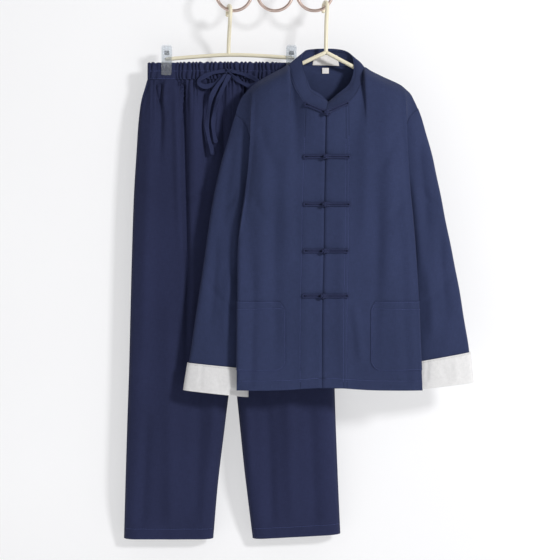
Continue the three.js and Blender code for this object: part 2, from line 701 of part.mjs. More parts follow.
// The maker's tape and the size tag inside the back of the neck, both left plain.
const TAPE = 0.8;
const tapeGrid = [0.12, 0.4, 0.66].map((share) => [8, 9, 10].map((i) => {
  const row = share < 0.33 ? 0 : 1;
  const low = collarGrid[row][i];
  const inside = neckDirection(collarBottom[i]).multiplyScalar(-(LAID_ON + TAPE / 2 + 0.8));
  return low.clone().lerp(collarGrid[row + 1][i], (share - COLLAR_ROWS[row]) / 0.33).add(inside);
}));
add('collar_tape', wall(tapeGrid, { thickness: TAPE, facing: -1 }), COLOURS.tape);
const tag = new THREE.BoxGeometry(14, TAPE, 12);
tag.translate(107, -4.4, -199.5);
add('size_tag', tag, COLOURS.tape);

// Trousers: middle plane, waist, and the depth of the waist from clip to clip.
const TROUSERS_Y = 26;
const TROUSERS_X = -90;
const WAIST = { left: -272, right: 73, top: -178.5, bottom: -214.4 };
const LEG_HALF = 17;
const GATHERS = 37;
const GATHER_DEPTH = 1.4;
const waistDepth = table(['x', 'depth', 'gathered'], [
  [-272, 0.2, 0], [-268, 5, 0.2], [-255, 6.5, 0.6], [-245, 5.6, 0], [-218, 5.6, 0], [-190, 9, 1],
  [-100, 12, 1], [-10, 9, 1], [19, 5.6, 0], [51, 5.6, 0], [60, 6.5, 0.6], [69, 5, 0.2], [73, 0.2, 0],
]);
const legs = {
  left: {
    outside: table(['z', 'x'], [
      [-215, -272.5], [-226, -276], [-253, -284.5], [-300, -290.9], [-364, -295.2], [-471, -301.6],
      [-642, -306.9], [-824, -311.2], [-985, -316.6], [-1194, -322.3],
    ]),
    inside: table(['z', 'x'], [
      [-520, -91.1], [-771, -91.1], [-893, -99.5], [-985, -113.4], [-1070, -122], [-1194, -132.7],
    ]),
    hem: { outside: -1194, inside: -1194 },
  },
  right: {
    outside: table(['z', 'x'], [
      [-215, 73.5], [-226, 76.5], [-253, 85.4], [-300, 92.9], [-364, 98.3], [-471, 104.7],
      [-642, 115.4], [-824, 125], [-985, 130.3], [-1184, 138.9],
    ]),
    inside: table(['z', 'x'], [
      [-520, -88.9], [-771, -88.9], [-893, -80.3], [-985, -71.1], [-1070, -62.1], [-1194, -47.1],
    ]),
    hem: { outside: -1184, inside: -1194 },
  },
};
const CROTCH_Z = -520;
const legLevels = [
  -1194, -1070, -940, -830, -720, -610, CROTCH_Z, -498, -470, -430, -370, -310, -262, -234, -214.7,
];
const PANEL_COLUMNS = 13;

// Long folds that fall from the gathers: place at their top and foot, reach, width and depth.
const waistFolds = table(['x', 'footX', 'top', 'bottom', 'width', 'depth'], [
  [-243, -247, -205, -420, 9, -4], [-197, -189, -205, -700, 10, -6], [-150, -146, -205, -480, 9, -4],
  [-114, -110, -205, -430, 8, -4], [-62, -58, -205, -480, 9, -4.5], [-20, -26, -205, -640, 10, -5],
  [28, 34, -205, -430, 10, -4], [-220, -222, -205, -560, 10, 3], [-172, -170, -205, -520, 9, 3],
]);

function waistFold(x, z) {
  return waistFolds.reduce((sum, fold) => {
    const t = clamp01((fold.top - z) / (fold.top - fold.bottom));
    const across = Math.exp(-(((x - mix(fold.x, fold.footX, t)) / fold.width) ** 2));
    return sum + fold.depth * across * smooth((fold.top - z) / 40) * (1 - t);
  }, 0);
}

// One trouser panel: from the outside seam to the middle seam and inside leg, hem to waist.
function legGrid(name, forward) {
  const leg = legs[name];
  return legLevels.map((level) => {
    const isHem = level === legLevels[0];
    return Array.from({ length: PANEL_COLUMNS }, (unused, i) => {
      const even = i / (PANEL_COLUMNS - 1);
      const s = mix(even, 0.5 - 0.5 * Math.cos(Math.PI * even), 0.35);
      const z = isHem ? mix(leg.hem.outside, leg.hem.inside, s) : level;
      const outside = read(leg.outside, 'z', z, 'x');
      const inside = z > CROTCH_Z + 0.1 ? TROUSERS_X : read(leg.inside, 'z', z, 'x');
      const x = mix(outside, inside, s);
      const fork = smooth((-430 - z) / 90);
      const edgeRound = (t) => (1 - (1 - clamp01(t / 0.16)) ** 2.2) ** 0.6;
      const across = edgeRound(s) * mix(1, edgeRound(1 - s), fork);
      const held = read(waistDepth, 'x', x, 'depth');
      const low = smooth((WAIST.bottom - z) / 120);
      const profile = mix(held, LEG_HALF * across, low);
      const edge = smooth(across * 1.2);
      const depth = profile + waistFold(x, z) * edge;
      return vec(x, TROUSERS_Y - forward * Math.max(depth, 0), z);
    });
  });
}

function middleDirection(z, inward, forward) {
  if (z < CROTCH_Z - 0.1) return vec(inward, 0, 0);
  if (z < CROTCH_Z + 0.1) return vec(0.65 * inward, 0, -0.75);
  const turn = smooth((-430 - z) / 90);
  return vec(0, -forward * (1 - turn) - 0.02 * forward, -0.9 * turn);
}

for (const [name, inward] of [['left', 1], ['right', -1]]) {
  for (const [face, forward] of [['front', 1], ['back', -1]]) {
    const grid = legGrid(name, forward);
    const seams = {
      first: { directions: grid.map(() => vec(-inward, 0, 0)) },
      last: { directions: grid.map((row) => middleDirection(row[0].z, inward, forward)) },
      top: {
        directions: grid[0].map((unused, i) => vec(i === 0 ? -inward : 0, i === 0 ? 0 : -forward, 0)),
        gaps: grid[0].map(() => 0),
      },
    };
    add(`trousers_${face}_${name}`, wall(grid, { facing: inward * forward, seams }), COLOURS.trousers);
  }
}

// Waistband: a front and a back half, gathered on elastic all the way round.
for (const [face, forward] of [['front', 1], ['back', -1]]) {
  const columns = 2 * GATHERS;
  const grid = [0, 1].map((share) => Array.from({ length: columns + 1 }, (unused, i) => {
    const x = mix(WAIST.left, WAIST.right, i / columns);
    const ripple = (i % 2 === 0 ? -1 : 1) * read(waistDepth, 'x', x, 'gathered');
    const depth = read(waistDepth, 'x', x, 'depth') + ripple * GATHER_DEPTH;
    const top = WAIST.top + ripple * 1.2;
    return vec(x, TROUSERS_Y - forward * Math.max(depth, 0), mix(WAIST.bottom, top, share));
  }));
  add(`waistband_${face}`, wall(grid, {
    facing: forward,
    seams: {
      first: { directions: grid.map(() => vec(-1, 0, 0)) },
      last: { directions: grid.map(() => vec(1, 0, 0)) },
    },
  }), COLOURS.trousers);
}

// Drawstring: the bow's knot and two loops are one cord, and its two free ends hang below.
const STRING_Y = 6.2;
const flatSection = new THREE.Shape();
flatSection.absellipse(0, 0, 1.5, 3.2, 0, Math.PI * 2);
function flatString(points, steps) {
  const path = new THREE.CatmullRomCurve3(points, false, 'centripetal');
  const section = new THREE.Shape(flatSection.getPoints(2).slice(0, -1));
  return new THREE.ExtrudeGeometry(section, { steps, extrudePath: path });
}
const bowLoops = {
  left: table(['x', 'z'], [
    [-100, -197], [-133.8, -203], [-157, -214], [-162, -224], [-150, -231], [-130, -226], [-114, -213],
    [-100, -201],
  ]),
  right: table(['x', 'z'], [
    [-98, -197], [-64, -206], [-42, -216], [-37, -223], [-52, -230], [-73, -222], [-88, -211], [-98, -201],
  ]),
};
const knot = new THREE.SphereGeometry(1, 10, 8);
knot.scale(8, 5, 7.5);
knot.translate(-99, STRING_Y, -199);
const bow = Object.values(bowLoops).map((rows) => (
  flatString(rows.map((p) => vec(p.x, STRING_Y, p.z)), 20)
));
add('drawstring_bow', joined([knot, ...bow]), COLOURS.cord);
const freeEnds = {
  long: table(['x', 'y', 'z'], [
    [-103, 3, -206.8], [-108.5, 1.4, -213], [-121, 0.2, -229], [-135, 0.8, -255], [-142, 1.5, -290],
    [-145, 2, -314], [-141, 2, -340], [-135, 2, -361], [-131.5, 2, -377],
  ]),
  short: table(['x', 'y', 'z'], [
    [-96, 3, -206.8], [-100, 1.4, -214], [-110, 0.2, -234], [-122, 0.8, -262], [-129.5, 1.5, -294],
    [-130.5, 2, -325], [-125, 2, -352],
  ]),
};
for (const [name, rows] of Object.entries(freeEnds)) {
  const points = rows.map((p) => vec(p.x, p.y, p.z));
  add(`drawstring_end_${name}`, swept(points, roundSection(2.6, 8), 14), COLOURS.cord);
}

// Rail: three rings in a row with a short link between neighbours.
const RING_RADIUS = 37.5;
const RING_WIRE = 3.5;
const RING_Z = -RING_RADIUS + RING_WIRE;
const ringCentres = [-87.1, 0, 84];
const rings = ringCentres.map((x) => {
  const ring = new THREE.TorusGeometry(RING_RADIUS, RING_WIRE, 6, 24);
  ring.rotateX(Math.PI / 2);
  ring.translate(x, 0, RING_Z);
  return ring;
});
const links = ringCentres.slice(1).map((x, k) => {
  const from = ringCentres[k] + RING_RADIUS - 1;
  const to = x - RING_RADIUS + 1;
  const line = [vec(from, 0, RING_Z), vec((from + to) / 2, 0, RING_Z), vec(to, 0, RING_Z)];
  return swept(line, roundSection(3, 6), 2);
});
add('ring_rail', joined([...rings, ...links]), COLOURS.rail, 0.35, 0.8);

// Hangers: a hook over its ring, a stem, and either two arms or a bar for the clips.
const HANGER_RADIUS = 3.6;
const HOOK_RADIUS = 15;
function hook(x, ringX) {
  const across = x - ringX;
  const wireZ = RING_Z - Math.sqrt(RING_RADIUS ** 2 - across ** 2);
  const slope = Math.sqrt(1 - (across / RING_RADIUS) ** 2);
  const topZ = wireZ + (RING_WIRE + HANGER_RADIUS + SEAM + 0.4) / slope;
  return [0, 30, 60, 90, 120, 150, 180, 200].map((degrees) => {
    const angle = (degrees * Math.PI) / 180;
    const away = HOOK_RADIUS * Math.cos(angle);
    return vec(x + 0.25 * away, -away, topZ - HOOK_RADIUS + HOOK_RADIUS * Math.sin(angle));
  }).reverse();
}

const jacketHook = hook(106.5, ringCentres[2]);
const jacketStem = swept(
  [...jacketHook, vec(108.5, -20, -95), vec(107.5, -25, -130), vec(107.3, -26, -165)],
  roundSection(HANGER_RADIUS, 6), 26,
);
const armPoints = table(['x', 'z'], [[-44, -245.5], [-27, -230.5], [29.5, -200.5], [107.3, -164]]);
const leftArm = armPoints.map((p) => vec(p.x, SHOULDER_Y + 1.5, p.z));
const rightPoints = table(['x', 'z'], [[264, -244.5], [243, -232.5], [187, -206], [107.3, -164]]);
const rightArm = rightPoints.map((p) => vec(p.x, SHOULDER_Y + 1.5, p.z));
add('jacket_hanger', joined([
  jacketStem,
  swept(leftArm, roundSection(HANGER_RADIUS, 6), 8),
  swept(rightArm, roundSection(HANGER_RADIUS, 6), 8),
]), COLOURS.hanger, 0.45);

const BAR_Z = -161;
const trouserHook = hook(-97.5, ringCentres[0]);
const trouserLine = [
  ...trouserHook,
  vec(-95, -8, -92), vec(-97, 10, -112), vec(-99, 24, -138), vec(-99.5, TROUSERS_Y, BAR_Z - 1),
];
const trouserStem = swept(trouserLine, roundSection(HANGER_RADIUS, 6), 28);
const bar = [vec(-236, TROUSERS_Y, -170.5), vec(-170, TROUSERS_Y, -165), vec(-99.5, TROUSERS_Y, BAR_Z),
  vec(-30, TROUSERS_Y, -163), vec(41, TROUSERS_Y, -168)];
const barTube = swept(bar, roundSection(HANGER_RADIUS, 6), 12);
add('trouser_hanger', joined([trouserStem, barTube]), COLOURS.hanger, 0.45);

// Clips: a clear front and back jaw on the bar's end, with a coil spring between their grips.
const JAW = { width: 22, plate: 2.2 };
const jawProfile = table(['z', 'inner'], [
  [-141.5, 9], [-164, 4.1], [-173, 4.1], [-177.5, 6.9], [-205.5, 6.9],
]);
function jaw(x, forward) {
  const inner = jawProfile.map((p) => [p.inner, p.z]);
  const outer = jawProfile.map((p) => [p.inner + JAW.plate, p.z]).reverse();
  const outline = [...inner, ...outer];
  const shape = new THREE.Shape(outline.map(([y, z]) => new THREE.Vector2(-forward * y, z)));
  const geometry = new THREE.ExtrudeGeometry(shape, { depth: JAW.width, bevelEnabled: false });
  geometry.rotateX(Math.PI / 2);
  geometry.rotateZ(Math.PI / 2);
  geometry.translate(x - JAW.width / 2, TROUSERS_Y, 0);
  return geometry;
}
const SPRING = { radius: 4.9, length: 12, z: -156.5 };
for (const [name, x] of [['left', -231.5], ['right', 35]]) {
  add(`clip_front_${name}`, jaw(x, 1), COLOURS.clear, 0.15);
  add(`clip_back_${name}`, jaw(x, -1), COLOURS.clear, 0.15);
  const spring = new THREE.CylinderGeometry(SPRING.radius, SPRING.radius, SPRING.length, 12);
  spring.rotateZ(Math.PI / 2);
  spring.translate(x, TROUSERS_Y, SPRING.z);
  add(`clip_spring_${name}`, spring, COLOURS.steel, 0.3, 1);
}

export default uniform;
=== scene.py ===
"""Looks of a tai chi uniform that hangs flat: a jacket in front of drawstring trousers.

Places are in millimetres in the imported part's frame and turned to metres in the meshes. The origin
is inside the top of the middle ring, +X is the viewer's right, -Y is towards the viewer, +Z is up.
"""
import logging
import math
from dataclasses import dataclass, field
from enum import Enum
from typing import Sequence

import bpy
import numpy as np
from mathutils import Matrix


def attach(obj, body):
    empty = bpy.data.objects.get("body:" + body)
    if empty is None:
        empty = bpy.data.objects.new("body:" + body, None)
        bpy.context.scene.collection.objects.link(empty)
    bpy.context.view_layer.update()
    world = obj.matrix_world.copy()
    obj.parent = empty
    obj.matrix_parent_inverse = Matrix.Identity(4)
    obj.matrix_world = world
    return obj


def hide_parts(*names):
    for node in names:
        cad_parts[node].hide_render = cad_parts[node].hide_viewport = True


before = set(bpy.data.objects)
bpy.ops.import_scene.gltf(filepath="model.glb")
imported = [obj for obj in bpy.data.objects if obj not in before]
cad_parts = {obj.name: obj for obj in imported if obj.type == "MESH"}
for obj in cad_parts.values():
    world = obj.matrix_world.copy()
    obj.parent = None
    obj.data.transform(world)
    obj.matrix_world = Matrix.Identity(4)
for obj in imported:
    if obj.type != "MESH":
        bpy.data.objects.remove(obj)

Grid = np.ndarray
Object, Material, Node, NodeTree = bpy.types.Object, bpy.types.Material, bpy.types.Node, bpy.types.NodeTree
Rows = tuple[tuple[float, ...], ...]
LOG = logging.getLogger("uniform")
MM = 0.001  # metres in a millimetre
CLOTH = 1.6  # a cloth wall's thickness
SEAM = 0.3  # what stands between two pieces that are sewn together
LAID_ON = CLOTH / 2 + SEAM  # from a wall's middle to the underside of what lies on it
SHOULDER_Y = -28.0  # the jacket's middle plane, where its shoulder and side seams lie
CLOSING_X = 106.0  # the jacket's closing line
UNDERARM_Z = -503.0
ROUNDING = 60.0  # how far below a shoulder its cloth turns over


class Side(Enum):
    """The viewer's two sides, with the sign of X that points outwards."""

    LEFT = -1
    RIGHT = 1

    @property
    def label(self) -> str:
        """The word used in node names."""
        return self.name.lower()


class Face(Enum):
    """Front or back of the trousers, with the sign that points towards the viewer."""

    FRONT = 1
    BACK = -1

    @property
    def label(self) -> str:
        """The word used in node names."""
        return self.name.lower()


def linear(hex_colour: str) -> tuple[float, float, float, float]:
    """Turns an sRGB hex colour into Blender's linear colour.

    Args:
        hex_colour: Six hex digits after a hash sign.
    Returns:
        Linear red, green and blue, and full alpha.
    """
    parts = [int(hex_colour[i:i + 2], 16) / 255 for i in (1, 3, 5)]
    low = [p / 12.92 if p <= 0.04045 else ((p + 0.055) / 1.055) ** 2.4 for p in parts]
    return (low[0], low[1], low[2], 1.0)


def smooth(t: Grid) -> Grid:
    """Eases from 0 to 1 with a flat start and end: three squares less two cubes."""
    s = np.clip(t, 0.0, 1.0)
    return s * s * (3 - 2 * s)


def mix(a: Grid, b: Grid, t: Grid) -> Grid:
    """Blends a into b by t."""
    return a + (b - a) * t


def curve(x: Sequence[float], y: Sequence[float], at: Grid) -> Grid:
    """Reads a smooth curve through table rows that never overshoots them.

    Each span is a cubic whose end slopes are harmonic means of the slopes beside them.

    Args:
        x: Where the rows stand, rising or falling.
        y: The rows' values.
        at: Where to read, as an array of any shape.
    Returns:
        The curve's values, held constant past both ends.
    """
    xs, ys = np.asarray(x, float), np.asarray(y, float)
    if xs[0] > xs[-1]:
        xs, ys = xs[::-1], ys[::-1]
    slope = np.diff(ys) / np.diff(xs)
    same = slope[:-1] * slope[1:] > 0
    total = np.where(same, slope[:-1] + slope[1:], 1.0)
    inner = np.where(same, 2 * slope[:-1] * slope[1:] / total, 0.0)
    tangent = np.concatenate([slope[:1], inner, slope[-1:]])
    p = np.clip(at, xs[0], xs[-1])
    k = np.clip(np.searchsorted(xs, p, side="right") - 1, 0, len(xs) - 2)
    span = xs[k + 1] - xs[k]
    t = (p - xs[k]) / span
    start, end = ys[k], ys[k + 1]
    first, last = tangent[k] * span, tangent[k + 1] * span
    return (start + t * first + t**2 * (3 * (end - start) - 2 * first - last)
            + t**3 * (first + last - 2 * (end - start)))


def grid_normals(points: Grid, closed: bool, facing: float) -> Grid:
    """Normals of a grid surface, from the cross product of its two directions.

    Args:
        points: Rows by columns by 3.
        closed: Whether the columns run round a closed ring.
        facing: 1 or -1, to turn the normals outwards.
    Returns:
        Unit normals, rows by columns by 3.
    """
    if closed:
        across = np.roll(points, -1, 1) - np.roll(points, 1, 1)
    else:
        across = np.gradient(points, axis=1)
    along = np.gradient(points, axis=0)
    normal = np.cross(across, along) * facing
    return normal / np.maximum(np.linalg.norm(normal, axis=2, keepdims=True), 1e-9)


def new_object(name: str, verts: Grid, quads: Grid, uv: Grid, caps: Sequence[Sequence[int]] = (),
               sharp_degrees: float = 50.0) -> Object:
    """Makes a smooth mesh object from points in millimetres, with its faces turned outwards.

    Args:
        name: The object's name.
        verts: Points in millimetres, n by 3.
        quads: Corner numbers, m by 4.
        uv: A place on the cloth for each corner in metres, m by 4 by 2.
        caps: Further faces, each a run of corner numbers, that close the ends of a rod.
        sharp_degrees: Edges that bend more than this stay crisp.
    Returns:
        The new object, linked to the scene.
    """
    a, b, c, d = (verts[quads[:, k]] for k in range(4))
    volume = np.einsum("ij,ij->", a, np.cross(b, c)) + np.einsum("ij,ij->", a, np.cross(c, d))
    if volume < 0:
        quads, uv = quads[:, ::-1], uv[:, ::-1]
        caps = [cap[::-1] for cap in caps]
    mesh = bpy.data.meshes.new(name)
    mesh.from_pydata((verts * MM).tolist(), [], quads.tolist() + [list(cap) for cap in caps])
    ends = np.zeros((sum(len(cap) for cap in caps), 2))
    layer = mesh.uv_layers.new(name="cloth")
    layer.data.foreach_set("uv", np.concatenate([uv.reshape(-1, 2), ends]).astype(np.float32).ravel())
    mesh.polygons.foreach_set("use_smooth", np.ones(len(mesh.polygons), bool))
    mesh.set_sharp_from_angle(angle=math.radians(sharp_degrees))
    mesh.update()
    obj = bpy.data.objects.new(name, mesh)
    bpy.context.scene.collection.objects.link(obj)
    return obj


def quads_of(number: Grid) -> Grid:
    """The four-cornered faces between neighbours of a grid of corner numbers."""
    corners = [number[:-1, :-1], number[:-1, 1:], number[1:, 1:], number[1:, :-1]]
    return np.stack(corners, -1).reshape(-1, 4)


def corner_uv(uv: Grid) -> Grid:
    """The cloth places of each face's four corners, in the order of quads_of."""
    return np.stack([uv[:-1, :-1], uv[:-1, 1:], uv[1:, 1:], uv[1:, :-1]], 2).reshape(-1, 4, 2)


def arc_lengths(points: Grid, closed: bool) -> Grid:
    """Places on the cloth in metres: distance along each row, and along each column.

    Args:
        points: Rows by columns by 3, in millimetres.
        closed: Whether the columns run round a closed ring, which gives one column more.
    Returns:
        Rows by columns by 2, in metres.
    """
    ring = np.concatenate([points, points[:, :1]], 1) if closed else points
    across = np.linalg.norm(np.diff(ring, axis=1), axis=2).cumsum(1)
    along = np.linalg.norm(np.diff(ring, axis=0), axis=2).cumsum(0)
    u = np.concatenate([np.zeros((len(ring), 1)), across], 1)
    v = np.concatenate([np.zeros((1, ring.shape[1])), along], 0)
    return np.stack([u, v], -1) * MM


def resample(coarse: Grid, at: Grid, closed: bool = False) -> Grid:
    """Reads points along the first axis at fractional numbers, on a cubic through its neighbours.

    Each span is 0.5 (2b + (c-a)t + (2a-5b+4c-d)t^2 + (3b-a-3c+d)t^3), with a to d its four rows.

    Args:
        coarse: Rows by anything.
        at: Fractional row numbers.
        closed: Whether the last row is followed by the first.
    Returns:
        One row for each number in at.
    """
    count = len(coarse)
    k = np.floor(at).astype(int)
    if closed:
        a, b, c, d = (coarse[(k + step) % count] for step in (-1, 0, 1, 2))
    else:
        k = np.clip(k, 0, count - 2)
        ends = np.concatenate([2 * coarse[:1] - coarse[1:2], coarse, 2 * coarse[-1:] - coarse[-2:-1]])
        a, b, c, d = (ends[k + step] for step in (0, 1, 2, 3))
    t = (at - k).reshape((-1,) + (1,) * (coarse.ndim - 1))
    return 0.5 * (2 * b + (c - a) * t + (2 * a - 5 * b + 4 * c - d) * t**2
                  + (3 * b - a - 3 * c + d) * t**3)


def even_steps(points: Grid, step: float, closed: bool = False) -> Grid:
    """Fractional numbers along the first axis that are about one step apart on the surface.

    Args:
        points: Rows by columns by 3, in millimetres.
        step: The distance wanted between two rows.
        closed: Whether the last row is followed by the first.
    Returns:
        Fractional row numbers, never fewer than the rows.
    """
    ring = np.concatenate([points, points[:1]]) if closed else points
    gaps = np.linalg.norm(np.diff(ring, axis=0), axis=2).mean(1)
    length = np.concatenate([[0], gaps.cumsum()])
    count = max(int(round(length[-1] / step)), len(points) - 1)
    return np.interp(np.linspace(0, length[-1], count + 1)[: count if closed else None],
                     length, np.arange(len(ring)))


@dataclass(frozen=True)
class Fold:
    """A soft ridge or trough in hanging cloth, drawn along a line seen from the front."""

    path: tuple[tuple[float, float], ...]  # places across and up, in millimetres
    width: float  # from its line to where it has fallen to about a third
    depth: float  # above zero it stands out, below zero it is a trough
    fade: tuple[float, float] = (0.3, 0.3)  # shares of its length over which its two ends rise and sink

    def at(self, x: Grid, z: Grid) -> Grid:
        """Depth at each place: a bell across the line, that eases in and out along it.

        Args:
            x: Places across, in millimetres.
            z: Heights, in millimetres.
        Returns:
            How far the cloth stands out there, in millimetres.
        """
        line = np.asarray(self.path, float)
        spans = np.linalg.norm(np.diff(line, axis=0), axis=1)
        before = np.concatenate([[0], spans.cumsum()])
        best, share = np.full(x.shape, np.inf), np.zeros(x.shape)
        for (ax, az), (bx, bz), span, start in zip(line[:-1], line[1:], spans, before):
            t = np.clip(((x - ax) * (bx - ax) + (z - az) * (bz - az)) / span**2, 0, 1)
            away = np.hypot(x - ax - t * (bx - ax), z - az - t * (bz - az))
            share = np.where(away < best, (start + t * span) / before[-1], share)
            best = np.minimum(away, best)
        start, stop = self.fade
        ends = smooth(share / max(start, 1e-3)) * smooth((1 - share) / max(stop, 1e-3))
        return self.depth * np.exp(-((best / self.width) ** 2)) * ends


@dataclass
class Cloth:
    """A cloth surface on a fine grid, with the places on it that its weave and stitches use."""

    points: Grid
    facing: float
    closed: bool = False

    def normals(self) -> Grid:
        """Unit normals that point outwards."""
        return grid_normals(self.points, self.closed, self.facing)

    def fold(self, folds: Sequence[Fold], front: float = 1.0) -> "Cloth":
        """Moves the side that faces the viewer in or out by the listed folds.

        A point moves along its normal by the sum of the folds' depths there, weighted by how far the
        normal turns to that side.

        Args:
            folds: The folds.
            front: 1 for the side that faces the viewer, -1 for the side away from them.
        Returns:
            The same cloth.
        """
        normals = self.normals()
        x, z = self.points[..., 0], self.points[..., 2]
        depth = sum((one.at(x, z) for one in folds), np.zeros(x.shape))
        weight = smooth(-normals[..., 1] * front * 1.4)
        self.points = self.points + normals * (depth * weight)[..., None]
        return self

    def sway(self, height: float, waves: Sequence[tuple[float, float, float]]) -> "Cloth":
        """Adds the slight unevenness of hung cloth, the sum of a few long slanted waves.

        Args:
            height: The waves' height in millimetres.
            waves: Each wave's length across and down in millimetres, and its shift in turns.
        Returns:
            The same cloth.
        """
        x, z = self.points[..., 0], self.points[..., 2]
        total = sum(np.sin(2 * np.pi * (x / a + z / b + c)) for a, b, c in waves) / len(waves)
        inside = np.ones(x.shape)
        if not self.closed:
            edge = np.minimum(np.arange(x.shape[1]), np.arange(x.shape[1])[::-1]) / 6
            inside = np.broadcast_to(smooth(edge), x.shape)  # none at the seams, all six columns in
        self.points = self.points + self.normals() * (height * total * inside)[..., None]
        return self

    def sample(self, rows: Grid, cols: Grid, lift: float = 0.0) -> Grid:
        """Points at fractional rows and columns, lifted off the surface.

        Args:
            rows: Fractional row numbers, of any shape.
            cols: Fractional column numbers, of the same shape.
            lift: Distance along the normal in millimetres.
        Returns:
            Points, the shape of rows by 3.
        """
        surface = self.points + self.normals() * lift
        last_row, last_col = surface.shape[0] - 1, surface.shape[1] - 1
        j = np.clip(np.floor(rows).astype(int), 0, last_row - 1)
        i = np.clip(np.floor(cols).astype(int), 0, last_col - 1)
        t, s = (rows - j)[..., None], (cols - i)[..., None]
        low = surface[j, i] * (1 - s) + surface[j, i + 1] * s
        high = surface[j + 1, i] * (1 - s) + surface[j + 1, i + 1] * s
        return low * (1 - t) + high * t

    def places(self) -> Grid:
        """Distances along rows and columns in millimetres."""
        return arc_lengths(self.points, self.closed) / MM

    def across_line(self, height: float, start: float = 0.0, stop: float = 1.0) -> Grid:
        """A line along the cloth at one distance from its first row, between shares of its width.

        Args:
            height: The distance in millimetres, from the last row where it is below zero.
            start: The share of the width where it starts.
            stop: The share of the width where it stops.
        Returns:
            Points on the cloth's outer face.
        """
        v = self.places()[..., 1]
        cols = np.arange(self.points.shape[1])
        wanted = v[-1] * (height < 0) + height
        rows = np.array([np.interp(wanted[i], v[:, i], np.arange(len(v))) for i in cols])
        keep = (cols >= start * cols[-1]) & (cols <= stop * cols[-1])
        return self.sample(rows[keep], cols[keep].astype(float), CLOTH / 2)

    def down_line(self, distance: float, start: float = 0.0, stop: float = 1.0) -> Grid:
        """A line down the cloth at one distance from its first column, between shares of its height.

        Args:
            distance: The distance in millimetres.
            start: The share of the rows where it starts.
            stop: The share of the rows where it stops.
        Returns:
            Points on the cloth's outer face.
        """
        u = self.places()[..., 0]
        rows = np.arange(len(u))
        cols = np.array([np.interp(distance, u[j], np.arange(u.shape[1])) for j in rows])
        keep = (rows >= start * rows[-1]) & (rows <= stop * rows[-1])
        return self.sample(rows[keep].astype(float), cols[keep], CLOTH / 2)


def finer(coarse: Grid, facing: float, step: tuple[float, float], closed: bool = False) -> Cloth:
    """A fine cloth surface through a coarse grid of points, by cubics first up and then across.

    Args:
        coarse: Rows by columns by 3, in millimetres.
        facing: The sign that turns its normals outwards.
        step: The fine grid's spacing along the rows' and along the columns' numbers, in millimetres.
        closed: Whether the columns run round a closed ring.
    Returns:
        The cloth.
    """
    rows = even_steps(coarse, step[0])
    tall = resample(coarse, rows)
    sideways = tall.transpose(1, 0, 2)
    cols = even_steps(sideways, step[1], closed)
    return Cloth(resample(sideways, cols, closed).transpose(1, 0, 2), facing, closed)


def wall(name: str, cloth: Cloth, thickness: float = CLOTH) -> Object:
    """A cloth wall: the middle surface moved half its thickness to each side, with rims between.

    Args:
        name: The object's name.
        cloth: The middle surface.
        thickness: The wall's thickness in millimetres.
    Returns:
        The closed shell as an object.
    """
    points = cloth.points
    rows, cols = points.shape[:2]
    offset = cloth.normals() * thickness / 2
    verts = np.concatenate([(points + offset).reshape(-1, 3), (points - offset).reshape(-1, 3)])
    number = np.arange(rows * cols).reshape(rows, cols)
    uv = arc_lengths(points, cloth.closed)
    if cloth.closed:
        number = np.concatenate([number, number[:, :1]], 1)
    layer = rows * cols
    quads = [quads_of(number), quads_of(number)[:, ::-1] + layer]
    corners = [corner_uv(uv), corner_uv(uv)[:, ::-1]]
    borders = [(number[0], uv[0]), (number[-1, ::-1], uv[-1, ::-1])]
    if not cloth.closed:
        borders += [(number[:, -1], uv[:, -1]), (number[::-1, 0], uv[::-1, 0])]
    for edge, place in borders:
        quads.append(np.stack([edge[1:], edge[:-1], edge[:-1] + layer, edge[1:] + layer], -1))
        corners.append(np.stack([place[1:], place[:-1], place[:-1], place[1:]], 1))
    return new_object(name, verts, np.concatenate(quads), np.concatenate(corners))


def spline(points: Sequence[Sequence[float]], count: int, closed: bool = False) -> Grid:
    """Points evenly spread along a smooth curve through given points, by resample's cubics.

    Args:
        points: The given points, in millimetres.
        count: How many points to give back.
        closed: Whether the curve returns to its start.
    Returns:
        An array, count by 3.
    """
    p = np.asarray(points, float)
    spans = len(p) if closed else len(p) - 1
    line = resample(p, np.linspace(0, spans, spans * 24 + 1)[: -1 if closed else None], closed)
    whole = np.concatenate([line, line[:1]]) if closed else line
    length = np.concatenate([[0], np.linalg.norm(np.diff(whole, axis=0), axis=1).cumsum()])
    want = np.linspace(0, length[-1], count, endpoint=not closed)
    return np.stack([np.interp(want, length, whole[:, k]) for k in range(3)], -1)


